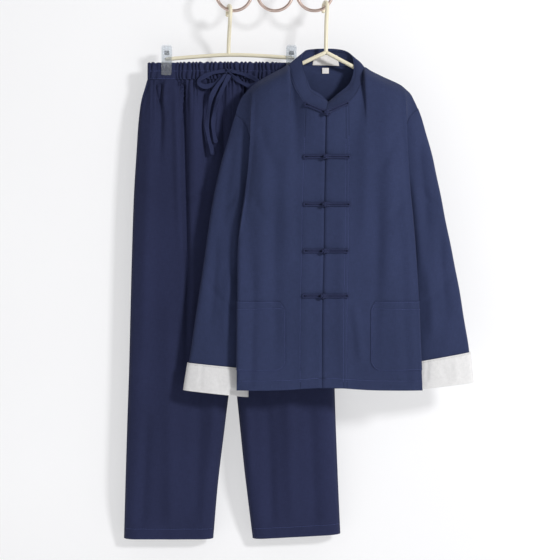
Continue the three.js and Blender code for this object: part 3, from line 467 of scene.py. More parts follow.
def tube(name: str, line: Grid, across: Grid | float, deep: Grid | float, sides: int = 14,
         closed: bool = False, flat_axis: Sequence[float] | Grid = (0, -1, 0),
         crease: float = 0.0) -> Object:
    """A rod or flattened cord: ellipses set square to a line, rounded off at its ends.

    A ring's point is the line's, plus the side by the cosine and the front by the sine of its angle.
    Over the last three points the rings shrink as a circle does.

    Args:
        name: The object's name.
        line: Centre points, n by 3, in millimetres.
        across: Half width, square to the flat axis.
        deep: Half depth, along the flat axis.
        sides: Points in a ring.
        closed: Whether the line is a loop.
        flat_axis: The direction that the depth is measured along, one for all points or one for each.
        crease: How far its flat faces sink along their middle, as a share of the depth.
    Returns:
        The closed rod as an object.
    """
    count = len(line)
    if closed:
        tangent = np.roll(line, -1, 0) - np.roll(line, 1, 0)
        round_off = np.ones(count)
    else:
        tangent = np.gradient(line, axis=0)
        from_end = np.minimum(np.arange(count), np.arange(count)[::-1])
        round_off = np.sqrt(1 - (1 - np.minimum(from_end / 3 + 0.12, 1)) ** 2)
    tangent = tangent / np.linalg.norm(tangent, axis=1, keepdims=True)
    side = np.cross(tangent, np.asarray(flat_axis, float))
    side /= np.maximum(np.linalg.norm(side, axis=1, keepdims=True), 1e-6)
    front = np.cross(side, tangent)
    angle = np.linspace(0, 2 * np.pi, sides, endpoint=False)[None, :, None]
    width = (np.broadcast_to(across, count) * round_off)[:, None, None]
    depth = (np.broadcast_to(deep, count) * round_off)[:, None, None]
    depth = depth * (1 - crease * np.abs(np.sin(angle)) ** 3)
    rings = line[:, None] + side[:, None] * np.cos(angle) * width + front[:, None] * np.sin(angle) * depth
    number = np.arange(count * sides).reshape(count, sides)
    caps = [] if closed else [number[0][::-1].tolist(), number[-1].tolist()]
    number = np.concatenate([number, number[:, :1]], 1)
    uv = arc_lengths(rings, True)
    if closed:
        number = np.concatenate([number, number[:1]], 0)
        step = np.linalg.norm(line[0] - line[-1]) * MM
        uv = np.concatenate([uv, uv[-1:] + [0, step]])
    return new_object(name, rings.reshape(-1, 3), quads_of(number), corner_uv(uv), caps, 70.0)


def joined(name: str, parts: Sequence[Object]) -> Object:
    """Joins finished objects into one mesh under a name.

    Args:
        name: The name of the whole.
        parts: The objects, of which the first becomes the whole.
    Returns:
        The whole.
    """
    bpy.ops.object.select_all(action="DESELECT")
    for part in parts:
        part.select_set(True)
    bpy.context.view_layer.objects.active = parts[0]
    bpy.ops.object.join()
    parts[0].name = name
    parts[0].data.name = name
    return parts[0]


def stitches(name: str, lines: Sequence[Grid], length: float = 2.6, gap: float = 0.9,
             radius: float = 0.34) -> Object:
    """Runs of thread: short four-sided dashes on a line, thickest in their middle.

    Args:
        name: The object's name.
        lines: The lines that the stitches follow, each n by 3, in millimetres.
        length: A stitch's length.
        gap: The cloth between two stitches.
        radius: Half the thread's thickness.
    Returns:
        The stitches as one object.
    """
    starts, ends = [], []
    for line in lines:
        run = np.concatenate([[0], np.linalg.norm(np.diff(line, axis=0), axis=1).cumsum()])
        first = np.arange(gap, run[-1] - length, length + gap)
        for found, at in ((starts, first), (ends, first + length)):
            found.append(np.stack([np.interp(at, run, line[:, k]) for k in range(3)], -1))
    start, end = np.concatenate(starts), np.concatenate(ends)
    along = (end - start) / np.linalg.norm(end - start, axis=1, keepdims=True)
    viewer = np.array([0.0, -1.0, 0.0])
    out = viewer - along * (along @ viewer)[:, None]
    out /= np.maximum(np.linalg.norm(out, axis=1, keepdims=True), 1e-6)
    side = np.cross(along, out)
    angle = np.arange(4) * np.pi / 2
    ring = side[:, None] * np.cos(angle)[None, :, None] + out[:, None] * np.sin(angle)[None, :, None]
    shares, sizes = (0.0, 0.3, 0.7, 1.0), (0.35, 1.0, 1.0, 0.35)
    rows = [(start + (end - start) * s)[:, None] + ring * radius * size for s, size in zip(shares, sizes)]
    verts = np.stack(rows, 1)
    count = len(start)
    number = np.arange(count * 16).reshape(count, 4, 4)
    wrapped = np.concatenate([number, number[:, :, :1]], 2)
    quads = np.stack([wrapped[:, :-1, :-1], wrapped[:, :-1, 1:], wrapped[:, 1:, 1:], wrapped[:, 1:, :-1]], -1)
    faces = np.concatenate([quads.reshape(-1, 4), number[:, 0, ::-1], number[:, -1]])
    return new_object(name, verts.reshape(-1, 3), faces, np.zeros((len(faces), 4, 2)), (), 70.0)


def feed(tree: NodeTree, node: Node, inputs: dict) -> None:
    """Sets or links a node's inputs.

    Args:
        tree: The material's nodes.
        node: The node.
        inputs: Input number or name, with a value, or with the socket or the node that feeds it.
    """
    for key, value in inputs.items():
        if isinstance(value, Node):
            value = value.outputs[0]
        if isinstance(value, bpy.types.NodeSocket):
            tree.links.new(value, node.inputs[key])
        else:
            node.inputs[key].default_value = value


def add_node(tree: NodeTree, kind: str, inputs: dict | None = None, **settings: object) -> Node:
    """Adds a node with its settings, its fixed values and its links.

    Args:
        tree: The material's nodes.
        kind: The node's type name without ShaderNode.
        inputs: What feed sets or links.
        settings: The node's own settings.
    Returns:
        The node.
    """
    made = tree.nodes.new("ShaderNode" + kind)
    for key, value in settings.items():
        setattr(made, key, value)
    feed(tree, made, inputs or {})
    return made


def new_material(name: str) -> tuple[Material, NodeTree, Node, bpy.types.NodeSocket]:
    """A material that holds only a surface shader, its output and the piece's own coordinates.

    Args:
        name: The real material's name.
    Returns:
        The material, its nodes, its shader and the coordinates, in metres.
    """
    made = bpy.data.materials.new(name)
    made.use_nodes = True
    made.node_tree.nodes.clear()
    shader = add_node(made.node_tree, "BsdfPrincipled")
    add_node(made.node_tree, "OutputMaterial", {"Surface": shader})
    place = add_node(made.node_tree, "TexCoord").outputs["Object"]
    return made, made.node_tree, shader, place


class Axis(Enum):
    """Which way a sewn line is measured: across from a cloth's first column or up from its first row."""

    ACROSS = 0
    UP = 1


@dataclass(frozen=True)
class SewnLine:
    """A line of stitching or a folded edge, at one distance on the cloth in millimetres, whose dent is
    darkened with painted shade.
    """

    axis: Axis
    at: float
    width: float = 1.6  # from the line to where its dent ends


@dataclass(frozen=True)
class WovenCloth:
    """Dyed cotton and linen cloth, plain woven and washed soft: it looks matt, with fine uneven threads,
    a faint bloom where it turns away, and small changes of shade where it has creased."""

    name: str
    colour: str
    lit: str
    dark: str
    thread: float = 1.1  # millimetres from one thread to the next
    slub: float = 0.35  # how much a thick thread changes the shade
    bump: float = 0.5
    sheen: float = 0.03
    roughness: float = 0.9

    def material(self, lines: Sequence[SewnLine] = (), tag: str = "") -> Material:
        """The cloth's material: threads both ways, slubs, random changes of tone, and sewn lines whose dents
        carry painted shade, on the cloth's own places.

        The threads are sines of the distance across and up, drawn 1.1 mm apart where real ones are
        0.6 mm, so that they show. Slubs are noise drawn long along each thread.

        Args:
            lines: The sewn lines that dent it.
            tag: A word for the piece, where the sewn lines are its own.
        Returns:
            The material.
        """
        made, tree, shader, place = new_material(self.name + tag)
        uv = add_node(tree, "UVMap", uv_map="cloth")
        split = add_node(tree, "SeparateXYZ", {0: uv}).outputs
        turns = 2 * math.pi / (self.thread * MM)
        wobble = add_node(tree, "TexNoise", {"Vector": place, "Scale": 70.0, "Detail": 2.0})
        threads = []
        for distance in (split[0], split[1]):
            shifted = add_node(tree, "Math", {0: wobble, 1: 0.0016, 2: distance}, operation="MULTIPLY_ADD")
            scaled = add_node(tree, "Math", {0: shifted, 1: turns}, operation="MULTIPLY")
            threads.append(add_node(tree, "Math", {0: scaled}, operation="SINE"))
        weave = add_node(tree, "Math", {0: threads[0], 1: threads[1]}, operation="MULTIPLY")
        slubs = []
        for stretch in ((1500.0, 60.0, 1.0), (60.0, 1500.0, 1.0)):
            drawn = add_node(tree, "Mapping", {"Vector": uv, "Scale": stretch})
            slubs.append(add_node(tree, "TexNoise", {"Vector": drawn, "Scale": 1.0, "Detail": 1.0}))
        slub = add_node(tree, "Math", {0: slubs[0], 1: slubs[1]}, operation="ADD")
        broad = add_node(tree, "TexNoise", {"Vector": place, "Scale": 5.0, "Detail": 3.0, "Roughness": 0.5})
        fine = add_node(tree, "TexNoise", {"Vector": place, "Scale": 160.0, "Detail": 2.0})
        shade = add_node(tree, "MapRange", {0: broad, 1: 0.3, 2: 0.7})
        base = add_node(tree, "Mix", {0: shade, 6: linear(self.dark), 7: linear(self.lit)},
                        data_type="RGBA").outputs[2]
        middle = add_node(tree, "Mix", {0: 0.6, 6: base, 7: linear(self.colour)},
                          data_type="RGBA").outputs[2]
        fleck = add_node(tree, "Math", {0: slub, 1: self.slub, 2: 1.0 - self.slub}, operation="MULTIPLY_ADD")
        grain = add_node(tree, "Math", {0: fine, 1: 0.16, 2: 0.92}, operation="MULTIPLY_ADD")
        amount = add_node(tree, "Math", {0: fleck, 1: grain}, operation="MULTIPLY")
        tone = add_node(tree, "VectorMath", {0: middle, 1: amount}, operation="MULTIPLY")
        height = add_node(tree, "Math", {0: weave, 1: 0.35, 2: slub}, operation="MULTIPLY_ADD")
        groove = self.groove(tree, split, lines)
        if groove is not None:
            # Painted shade: the colour is darkened along the sewn lines' dents, on top of their bump.
            painted_groove_shade = add_node(tree, "Math", {0: groove, 1: -0.22, 2: 1.0}, operation="MULTIPLY_ADD")
            tone = add_node(tree, "VectorMath", {0: tone, 1: painted_groove_shade}, operation="MULTIPLY")
            height = add_node(tree, "Math", {0: groove, 1: -5.0, 2: height}, operation="MULTIPLY_ADD")
        dents = add_node(tree, "Bump", {"Height": height, "Strength": self.bump, "Distance": 0.0003})
        feed(tree, shader, {"Base Color": tone, "Normal": dents, "Roughness": self.roughness,
                            "Specular IOR Level": 0.12, "Sheen Weight": self.sheen,
                            "Sheen Roughness": 0.45})
        return made

    @staticmethod
    def groove(tree: NodeTree, split: Sequence[bpy.types.NodeSocket],
               lines: Sequence[SewnLine]) -> Node | None:
        """The dent of the sewn lines, for their bump and their painted shade: 1 on a line, falling to 0 at
        the line's width on each side.

        Args:
            tree: The material's nodes.
            split: The distances across and up the cloth, in metres.
            lines: The sewn lines.
        Returns:
            The dent's last node, or None where there is no line.
        """
        total = None
        for line in lines:
            away = add_node(tree, "Math", {0: split[line.axis.value], 1: line.at * MM}, operation="SUBTRACT")
            size = add_node(tree, "Math", {0: away}, operation="ABSOLUTE")
            ramp = {0: size, 1: 0.0, 2: line.width * MM, 3: 1.0, 4: 0.0}
            dent = add_node(tree, "MapRange", ramp, interpolation_type="SMOOTHSTEP")
            if total is not None:
                dent = add_node(tree, "Math", {0: total, 1: dent}, operation="MAXIMUM")
            total = dent
        return total


@dataclass(frozen=True)
class TurnedCord:
    """A narrow tube of the same cloth, cut on the bias and turned: slanting threads and soft edges."""

    name: str
    colour: str
    slant: float = 1.3  # millimetres from one slanting rib to the next

    def material(self) -> Material:
        """Slanting ribs, a sine of the distance along plus the distance round, with fine noise."""
        made, tree, shader, place = new_material(self.name)
        uv = add_node(tree, "UVMap", uv_map="cloth")
        split = add_node(tree, "SeparateXYZ", {0: uv}).outputs
        total = add_node(tree, "Math", {0: split[0], 1: split[1]}, operation="ADD")
        scaled = add_node(tree, "Math", {0: total, 1: 2 * math.pi / (self.slant * MM)}, operation="MULTIPLY")
        ribs = add_node(tree, "Math", {0: scaled}, operation="SINE")
        fine = add_node(tree, "TexNoise", {"Vector": place, "Scale": 400.0, "Detail": 2.0})
        amount = add_node(tree, "Math", {0: fine, 1: 0.4, 2: 0.8}, operation="MULTIPLY_ADD")
        tone = add_node(tree, "VectorMath", {0: linear(self.colour)[:3], 1: amount}, operation="MULTIPLY")
        height = add_node(tree, "Math", {0: ribs, 1: 0.3, 2: fine}, operation="MULTIPLY_ADD")
        dents = add_node(tree, "Bump", {"Height": height, "Strength": 0.5, "Distance": 0.0003})
        feed(tree, shader, {"Base Color": tone, "Normal": dents, "Roughness": 0.85,
                            "Specular IOR Level": 0.15, "Sheen Weight": 0.03})
        return made


@dataclass(frozen=True)
class MouldedPlastic:
    """Injection-moulded polypropylene: cream, softly glossy, with the faint flow marks of its mould."""

    name: str = "moulded_polypropylene_cream"
    colour: str = "#eee6cc"

    def material(self) -> Material:
        """Faint flow marks in the colour and a slightly uneven gloss."""
        made, tree, shader, place = new_material(self.name)
        flow = add_node(tree, "TexNoise", {"Vector": place, "Scale": 30.0, "Detail": 3.0})
        amount = add_node(tree, "Math", {0: flow, 1: 0.12, 2: 0.94}, operation="MULTIPLY_ADD")
        tone = add_node(tree, "VectorMath", {0: linear(self.colour)[:3], 1: amount}, operation="MULTIPLY")
        gloss = add_node(tree, "MapRange", {0: flow, 3: 0.3, 4: 0.42})
        dents = add_node(tree, "Bump", {"Height": flow, "Strength": 0.1, "Distance": 0.0005})
        feed(tree, shader, {"Base Color": tone, "Roughness": gloss, "Normal": dents, "IOR": 1.49})
        return made


@dataclass(frozen=True)
class DrawnMetal:
    """Drawn wire, polished and plated: long fine draw marks stretch its reflections along the wire."""

    name: str
    colour: str
    roughness: float = 0.25

    def material(self) -> Material:
        """Draw marks are noise stretched along the wire, in its roughness and its relief."""
        made, tree, shader, place = new_material(self.name)
        uv = add_node(tree, "UVMap", uv_map="cloth")
        drawn = add_node(tree, "Mapping", {"Vector": uv, "Scale": (2500.0, 40.0, 1.0)})
        marks = add_node(tree, "TexNoise", {"Vector": drawn, "Scale": 1.0, "Detail": 2.0})
        wear = add_node(tree, "TexNoise", {"Vector": place, "Scale": 60.0, "Detail": 3.0})
        both = add_node(tree, "Math", {0: marks, 1: wear}, operation="MULTIPLY")
        gloss = add_node(tree, "MapRange", {0: both, 1: 0.1, 2: 0.45, 3: self.roughness * 0.7,
                                            4: self.roughness * 1.5})
        amount = add_node(tree, "Math", {0: wear, 1: 0.2, 2: 0.9}, operation="MULTIPLY_ADD")
        tone = add_node(tree, "VectorMath", {0: linear(self.colour)[:3], 1: amount}, operation="MULTIPLY")
        dents = add_node(tree, "Bump", {"Height": marks, "Strength": 0.08, "Distance": 0.0002})
        feed(tree, shader, {"Base Color": tone, "Roughness": gloss, "Normal": dents, "Metallic": 1.0})
        return made


@dataclass(frozen=True)
class ClearPlastic:
    """Moulded clear polystyrene: glassy, faintly blue, with scuffs that blur it a little.

    A share of it is plainly see-through, because thin plates bend light less than the shader does.
    """

    name: str = "moulded_polystyrene_clear"
    colour: str = "#eef3f8"
    see_through: float = 0.3

    def material(self) -> Material:
        """Scuffs are fine noise in the roughness."""
        made, tree, shader, place = new_material(self.name)
        scuffs = add_node(tree, "TexNoise", {"Vector": place, "Scale": 220.0, "Detail": 4.0})
        gloss = add_node(tree, "MapRange", {0: scuffs, 1: 0.4, 2: 0.8, 3: 0.04, 4: 0.25})
        feed(tree, shader, {"Roughness": gloss, "Base Color": linear(self.colour),
                            "Transmission Weight": 0.8, "IOR": 1.59})
        through = add_node(tree, "BsdfTransparent")
        both = add_node(tree, "MixShader", {0: self.see_through, 1: shader, 2: through})
        feed(tree, tree.nodes["Material Output"], {0: both})
        return made


@dataclass(frozen=True)
class PaintedWall:
    """Matt white emulsion on smooth plaster: nearly even, with the faint drag of a roller.

    It glows, so that it comes out nearly white as an overexposed wall does, and from behind it is
    clear, so that the garments' backs can be seen.
    """

    name: str = "white_wall_paint"
    colour: str = "#b9b9bb"
    glow: float = 0.5

    def material(self) -> Material:
        """Roller drag is low noise in the colour; the face's side chooses between paint and nothing."""
        made, tree, shader, place = new_material(self.name)
        drag = add_node(tree, "TexNoise", {"Vector": place, "Scale": 3.0, "Detail": 4.0})
        amount = add_node(tree, "Math", {0: drag, 1: 0.06, 2: 0.97}, operation="MULTIPLY_ADD")
        tone = add_node(tree, "VectorMath", {0: linear(self.colour)[:3], 1: amount}, operation="MULTIPLY")
        feed(tree, shader, {"Base Color": tone, "Roughness": 0.95, "Emission Color": (1, 1, 1, 1),
                            "Emission Strength": self.glow})
        behind = add_node(tree, "NewGeometry").outputs["Backfacing"]
        through = add_node(tree, "BsdfTransparent")
        both = add_node(tree, "MixShader", {0: behind, 1: shader, 2: through})
        feed(tree, tree.nodes["Material Output"], {0: both})
        return made


JACKET_CLOTH = WovenCloth("cotton_linen_navy_jacket", "#323a59", "#373f61", "#2c3450")
TROUSER_CLOTH = WovenCloth("cotton_linen_navy_trousers", "#2a2f4c", "#2f3454", "#252943")
CUFF_CLOTH = WovenCloth("cotton_white_cuff", "#e4e3e2", "#ebeae9", "#dad9da", slub=0.12)
TAPE_CLOTH = WovenCloth("woven_tape_white", "#f2efee", "#f6f4f3", "#e8e4e3", thread=0.8, slub=0.08)
CORD_CLOTH = TurnedCord("turned_cotton_cord_navy", "#2b3150")
THREAD = TurnedCord("sewing_thread_navy", "#5a659a", 0.5)
WHITE_THREAD = TurnedCord("sewing_thread_white", "#f2f1ef", 0.5)
HANGER_PLASTIC = MouldedPlastic()
RAIL_METAL = DrawnMetal("plated_wire_rose_copper", "#e2cbc0", 0.34)
SPRING_STEEL = DrawnMetal("spring_steel_wire", "#a9adb2", 0.3)
CLEAR_PLASTIC = ClearPlastic()
WALL_PAINT = PaintedWall()


def dress(obj: Object, material: Material, slot: str, *nodes: str) -> Object:
    """Gives a piece its material and its body, and hides the solids that it stands for.

    Args:
        obj: The piece.
        material: Its material.
        slot: The record's slot for its finish; not used.
        nodes: The names of the solids that it replaces.
    Returns:
        The piece.
    """
    obj.data.materials.clear()
    obj.data.materials.append(material)
    if nodes:
        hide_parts(*nodes)
    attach(obj, "root")
    LOG.info("%s: %d faces", obj.name, len(obj.data.polygons))
    return obj


# Heights of the jacket's rows below the underarm, and their shares of the way up above it.
LEVELS = np.array([-872, -827, -757, -687, -625, -564, UNDERARM_Z])
RISES = np.array([0.18, 0.35, 0.51, 0.65, 0.77, 0.87, 0.94, 1])
# A front panel's columns, as shares of the way from its closing edge to its side fold.
SPREAD = np.array([0, 0.12, 0.22, 0.32, 0.41, 0.5, 0.58, 0.7, 0.81, 0.91, 0.97, 1])
# Height and X of the edge where the fronts meet.
CLOSING_EDGE = np.array([
    (-296, 106), (-387, 104.7), (-485, 102.7), (-582, 101.8), (-676, 99.3), (-767, 98.5), (-872, 98.3),
], float)


def read(rows: Sequence[tuple[float, float]], at: Grid) -> Grid:
    """Reads the second column of a table at values of its first."""
    both = np.asarray(rows, float)
    return curve(both[:, 0], both[:, 1], at)


@dataclass(frozen=True)
class JacketSide:
    """One side of the jacket: its outline, neck, shoulder, armhole, sleeve and pocket, in millimetres."""

    side: Side
    fold: Rows  # height and X of the side's folded edge
    neck: Rows  # places of the neck seam, from the closing line to the shoulder
    shoulder: Rows  # X and height of the shoulder seam, from the neck out to the armhole
    armhole: Rows  # X, Y in front, Y behind and height, from the shoulder's tip down
    seam: Rows  # height and X of the side seam
    back_corner: float
    sleeve_outer: Rows  # height and X of its two edges
    sleeve_inner: Rows
    sleeve_end: tuple[float, float]  # heights at the outer and the inner edge
    cuff_top: tuple[float, float]
    pocket_inner: float
    pocket_cut: float  # how far the pocket's upper corner slants in
    front_folds: tuple[Fold, ...]
    sleeve_folds: tuple[Fold, ...]
    facing_stitches: tuple[float, ...]  # distances from the closing edge
    flatness: float = 0.7  # below 1, a sleeve's oval has flatter faces
    sleeve_half: float = 13.0
    side_bow: float = 3.0

    @property
    def out(self) -> int:
        """The sign of X that points away from the closing line."""
        return self.side.value

    def heights(self, top: Grid) -> Grid:
        """Heights of columns' points: level below the underarm, and shared out up to each top.

        Args:
            top: The columns' highest points.
        Returns:
            Rows by columns.
        """
        low = np.broadcast_to(LEVELS[:, None], (len(LEVELS), len(top)))
        return np.concatenate([low, UNDERARM_Z + (top - UNDERARM_Z) * RISES[:, None]])

    def side_seam(self, column: int) -> Grid:
        """The seam from the hem to the underarm and up one side of the armhole to the shoulder's tip.

        Args:
            column: The armhole's column to follow, 1 in front and 2 behind.
        Returns:
            The seam's points.
        """
        below = np.stack([read(self.seam, LEVELS), np.full(len(LEVELS), SHOULDER_Y), LEVELS], -1)
        hole = np.asarray(self.armhole, float)[::-1]
        above = np.stack([hole[:, 0], hole[:, column], hole[:, 3]], -1)
        tip = self.shoulder[-1]
        return np.concatenate([below, above, [[tip[0], SHOULDER_Y, tip[1]]]])

    def front(self) -> Grid:
        """The front panel's points: columns spread from the closing line to the fold, then to the seam.

        Across, a row is spread between its two edges and eases into the neck and shoulder above the
        underarm. In depth it is nearly flat, and turns over a quarter circle under the shoulder.

        Returns:
            Rows by columns by 3.
        """
        ridge = [(x, SHOULDER_Y, z) for x, z in self.shoulder]
        tops = np.array(list(self.neck) + ridge[:5], float)
        z = self.heights(tops[:, 2])
        rise = smooth((z - UNDERARM_Z) / (tops[:, 2] - UNDERARM_Z))
        fold, edge = read(self.fold, z), read(CLOSING_EDGE, z)
        lift = (tops[:, 0] - CLOSING_X) / (read(self.fold, tops[:, 2]) - CLOSING_X)
        x = mix(mix(edge, fold, SPREAD), mix(edge, fold, lift), rise)
        x[-1] = tops[:, 0]
        flat = mix(-66 - 6 * smooth((z + 560) / 200), -60.0, smooth((SPREAD - 0.85) / 0.15))
        below = (tops[:, 2] - z) / ROUNDING
        over = np.sqrt(1 - (1 - np.clip(below, 0, 1)) ** 2)
        sharp = np.minimum(np.arange(len(SPREAD)) / 6, 1) ** 2
        panel = np.stack([x, mix(tops[:, 1], flat, mix(smooth(below / 2), over, sharp)), z], -1)
        seam = self.side_seam(1)
        columns = [panel]
        for (across, back), top in zip(((0.03, 0.12), (0.62, 0.66)), ridge[5:7]):
            side = mix(panel[:, -1], seam, back)
            side[:, 0] = mix(panel[:, -1, 0], seam[:, 0], across)
            lower = np.clip((seam[-1, 2] - seam[:, 2]) / ROUNDING, 0, 1)
            side[:, 1] -= math.sin(back * math.pi) * self.side_bow * lower
            side[-1] = top
            columns.append(side[:, None])
        return np.concatenate([*columns, seam[:, None]], 1)

    def hole(self) -> Grid:
        """The armhole's ring of points, from the shoulder tip round the front and back up behind.

        Returns:
            Sixteen points.
        """
        tip = (self.shoulder[-1][0], SHOULDER_Y, self.shoulder[-1][1])
        under = (self.sleeve_inner[0][1], SHOULDER_Y, UNDERARM_Z - 1)
        front = [(x, near, z) for x, near, _, z in self.armhole]
        rear = [(x, far, z) for x, _, far, z in self.armhole][::-1]
        return np.array([tip, *front, under, *rear], float)

    def sleeve_ring(self, t: float, moved: float, inner_t: float) -> Grid:
        """A ring of the sleeve: a flattened oval across its width, that keeps the armhole's form near it.

        Args:
            t: Share of the way down the outer edge.
            moved: How far out the ring is moved.
            inner_t: Share of the way down the inner edge.
        Returns:
            Sixteen points.
        """
        hole = self.hole()
        if t == 0:
            return hole
        outer_z = mix(self.shoulder[-1][1], self.sleeve_end[0], t)
        inner_z = mix(UNDERARM_Z, self.sleeve_end[1], inner_t)
        outer = np.array([read(self.sleeve_outer, outer_z), SHOULDER_Y + 1, outer_z])
        inner = np.array([read(self.sleeve_inner, inner_z), SHOULDER_Y + 1, inner_z])
        middle, half = (outer + inner) / 2, np.linalg.norm(inner - outer) / 2 + moved
        chord = (inner - outer) / np.linalg.norm(inner - outer)
        angle = np.pi * np.arange(16) / 8
        ring = middle - chord * (np.cos(angle) * half)[:, None]
        oval = np.sign(np.sin(angle)) * np.abs(np.sin(angle)) ** self.flatness
        ring[:, 1] -= (self.sleeve_half + moved) * oval
        keep = (1 - smooth(np.array(t / 0.3))) ** 2
        return mix(ring, hole - (hole[0] + hole[8]) / 2 + middle, keep)

    def sleeve(self) -> Grid:
        """The sleeve's rings from armhole to wrist."""
        steps = (0, 0.05, 0.11, 0.19, 0.28, 0.38, 0.5, 0.62, 0.74, 0.86, 0.93, 1)
        return np.stack([self.sleeve_ring(t, 0.0, t) for t in steps])

    def cuff(self, moved: float) -> Grid:
        """The turned-up cuff's rings, which run a little past the sleeve's end.

        Args:
            moved: How far out it stands from the sleeve.
        Returns:
            Rings by sixteen by 3.
        """
        tip_z = self.shoulder[-1][1]
        outer = (self.cuff_top[0] - tip_z) / (self.sleeve_end[0] - tip_z)
        inner = (self.cuff_top[1] - UNDERARM_Z) / (self.sleeve_end[1] - UNDERARM_Z)
        shares = (0, 0.33, 0.67, 1.02)
        return np.stack([self.sleeve_ring(mix(outer, 1, s), moved, mix(inner, 1, s)) for s in shares])


LEFT = JacketSide(
    side=Side.LEFT,
    fold=((-239, -51.4), (-263, -47.8), (-312, -49.2), (-372, -51.3), (-435, -56.9), (-476, -63.2),
          (-528, -70.4), (-580, -76), (-663, -76.7), (-767, -77.5), (-872, -78.3)),
    neck=((105.7, -84, -296.2), (80.7, -82, -290.8), (62.2, -77, -276.8), (47.9, -69, -257.1),
          (37.6, -58, -234.9), (31.5, -45, -214.3), (29.5, -28, -190.9)),
    shoulder=((12, -200), (-10, -211), (-31.4, -223.4), (-45, -233.5), (-51.4, -239.2),
              (-67.1, -256), (-76, -274), (-81.8, -292.7)),
    armhole=((-73.2, -35, -20, -300), (-63, -41, -15, -311.5), (-54, -43, -13, -332),
             (-49, -43.5, -12, -362), (-45.8, -42, -12, -396), (-43, -38, -14, -432), (-42, -33, -19, -470)),
    seam=((UNDERARM_Z, -43.9), (-687, -43.8), (-872, -43.8)),
    back_corner=-51,
    sleeve_outer=((-292.7, -81.8), (-316, -91.3), (-367, -104.5), (-411, -116.7), (-453, -126),
                  (-579, -145.5), (-642, -154.1), (-733, -167.6), (-816, -180.3), (-872, -189.3)),
    sleeve_inner=((UNDERARM_Z, -45.9), (-530, -51), (-560, -56), (-600, -59), (-747, -59.5), (-886, -59.5)),
    sleeve_end=(-872.5, -886.5), cuff_top=(-816, -828), pocket_inner=23, pocket_cut=13,
    front_folds=(
        Fold(((36, -262), (42, -330), (46, -420)), 11, -3.0, (0.5, 0.4)),
        Fold(((28, -330), (24, -470), (30, -640)), 16, 4.2),
        Fold(((-20, -330), (-28, -520), (-24, -700)), 18, 4.5),
        Fold(((2, -420), (-4, -560), (4, -860)), 13, -3.6),
        Fold(((-48, -560), (-44, -700), (-50, -868)), 10, -3.2, (0.3, 0.05)),
        Fold(((62, -420), (66, -600), (60, -868)), 14, 2.9, (0.3, 0.05)),
        Fold(((-66, -330), (-69, -520), (-72, -700), (-73, -868)), 8, 4.0, (0.15, 0.05)),
        Fold(((-36, -300), (-12, -390), (10, -430)), 11, -2.9),
        Fold(((-45, -470), (-20, -520)), 10, -3.2),
    ),
    sleeve_folds=(
        Fold(((-84, -330), (-100, -450), (-112, -560)), 9, -3.1),
        Fold(((-66, -400), (-80, -520), (-84, -640)), 10, 3.9),
        Fold(((-120, -520), (-128, -640), (-136, -760)), 9, -3.4),
        Fold(((-90, -600), (-104, -720), (-108, -800)), 11, 3.6),
        Fold(((-150, -640), (-110, -690), (-72, -700)), 8, -2.3),
        Fold(((-75, -450), (-100, -490), (-130, -495)), 7, -2.1),
    ),
    facing_stitches=(46.0,),
)
RIGHT = JacketSide(
    side=Side.RIGHT,
    fold=((-238, 270.2), (-263, 272.5), (-312, 274), (-372, 275.5), (-435, 279.6), (-476, 282.4),
          (-538, 289.4), (-601, 292.7), (-642, 296.9), (-767, 301.5), (-872, 306)),
    neck=((106.3, -84, -296.2), (130.2, -82, -287.7), (153.1, -77, -274.7), (168, -69, -257.1),
          (179, -58, -234.9), (185, -45, -216.4), (187, -28, -196.1)),
    shoulder=((202, -204), (222, -214), (243, -224), (260, -232), (270.2, -238.5),
              (284, -251), (292.5, -267), (299.4, -282.2)),
    armhole=((288.1, -35, -20, -290.5), (278.5, -41, -15, -303.8), (272.5, -43, -13, -326),
             (269.5, -43.5, -12, -358), (267.8, -42, -12, -392), (267.5, -38, -14, -430),
             (269, -33, -19, -468)),
    seam=((UNDERARM_Z, 270.5), (-687, 274.5), (-872, 276.2)),
    back_corner=282.5,
    sleeve_outer=((-282.2, 299.4), (-302, 307.7), (-334, 317.1), (-367, 326.6), (-417, 337.7),
                  (-474, 348.8), (-537, 361.5), (-600, 374.1), (-642, 382.5), (-716, 395.1),
                  (-794, 407.4), (-857, 413.4)),
    sleeve_inner=((UNDERARM_Z, 272.5), (-530, 281), (-560, 287), (-600, 290.5), (-747, 291.5), (-872, 292)),
    sleeve_end=(-857, -872), cuff_top=(-794, -815), pocket_inner=198.4, pocket_cut=9,
    front_folds=(
        Fold(((186, -290), (190, -420), (184, -600)), 15, 3.9),
        Fold(((232, -330), (238, -520), (230, -700)), 17, 4.2),
        Fold(((210, -420), (214, -560), (206, -860)), 12, -3.4),
        Fold(((160, -675), (172, -740), (181, -828)), 9, 4.4),
        Fold(((262, -520), (268, -700), (276, -868)), 12, -3.1, (0.3, 0.05)),
        Fold(((142, -420), (138, -600), (144, -868)), 13, 2.6, (0.3, 0.05)),
        Fold(((258, -320), (226, -400), (205, -430)), 11, -2.9),
        Fold(((272, -470), (240, -520)), 10, -3.1),
    ),
    sleeve_folds=(
        Fold(((300, -320), (312, -450), (322, -560)), 9, -3.1),
        Fold(((285, -400), (300, -520), (308, -640)), 10, 3.9),
        Fold(((345, -520), (352, -640), (360, -740)), 9, -3.4),
        Fold(((318, -600), (328, -700), (332, -780)), 11, 3.6),
        Fold(((378, -620), (340, -670), (304, -690)), 8, -2.3),
        Fold(((300, -440), (325, -480), (352, -490)), 7, -2.1),
    ),
    facing_stitches=(44.0, 51.0),
)


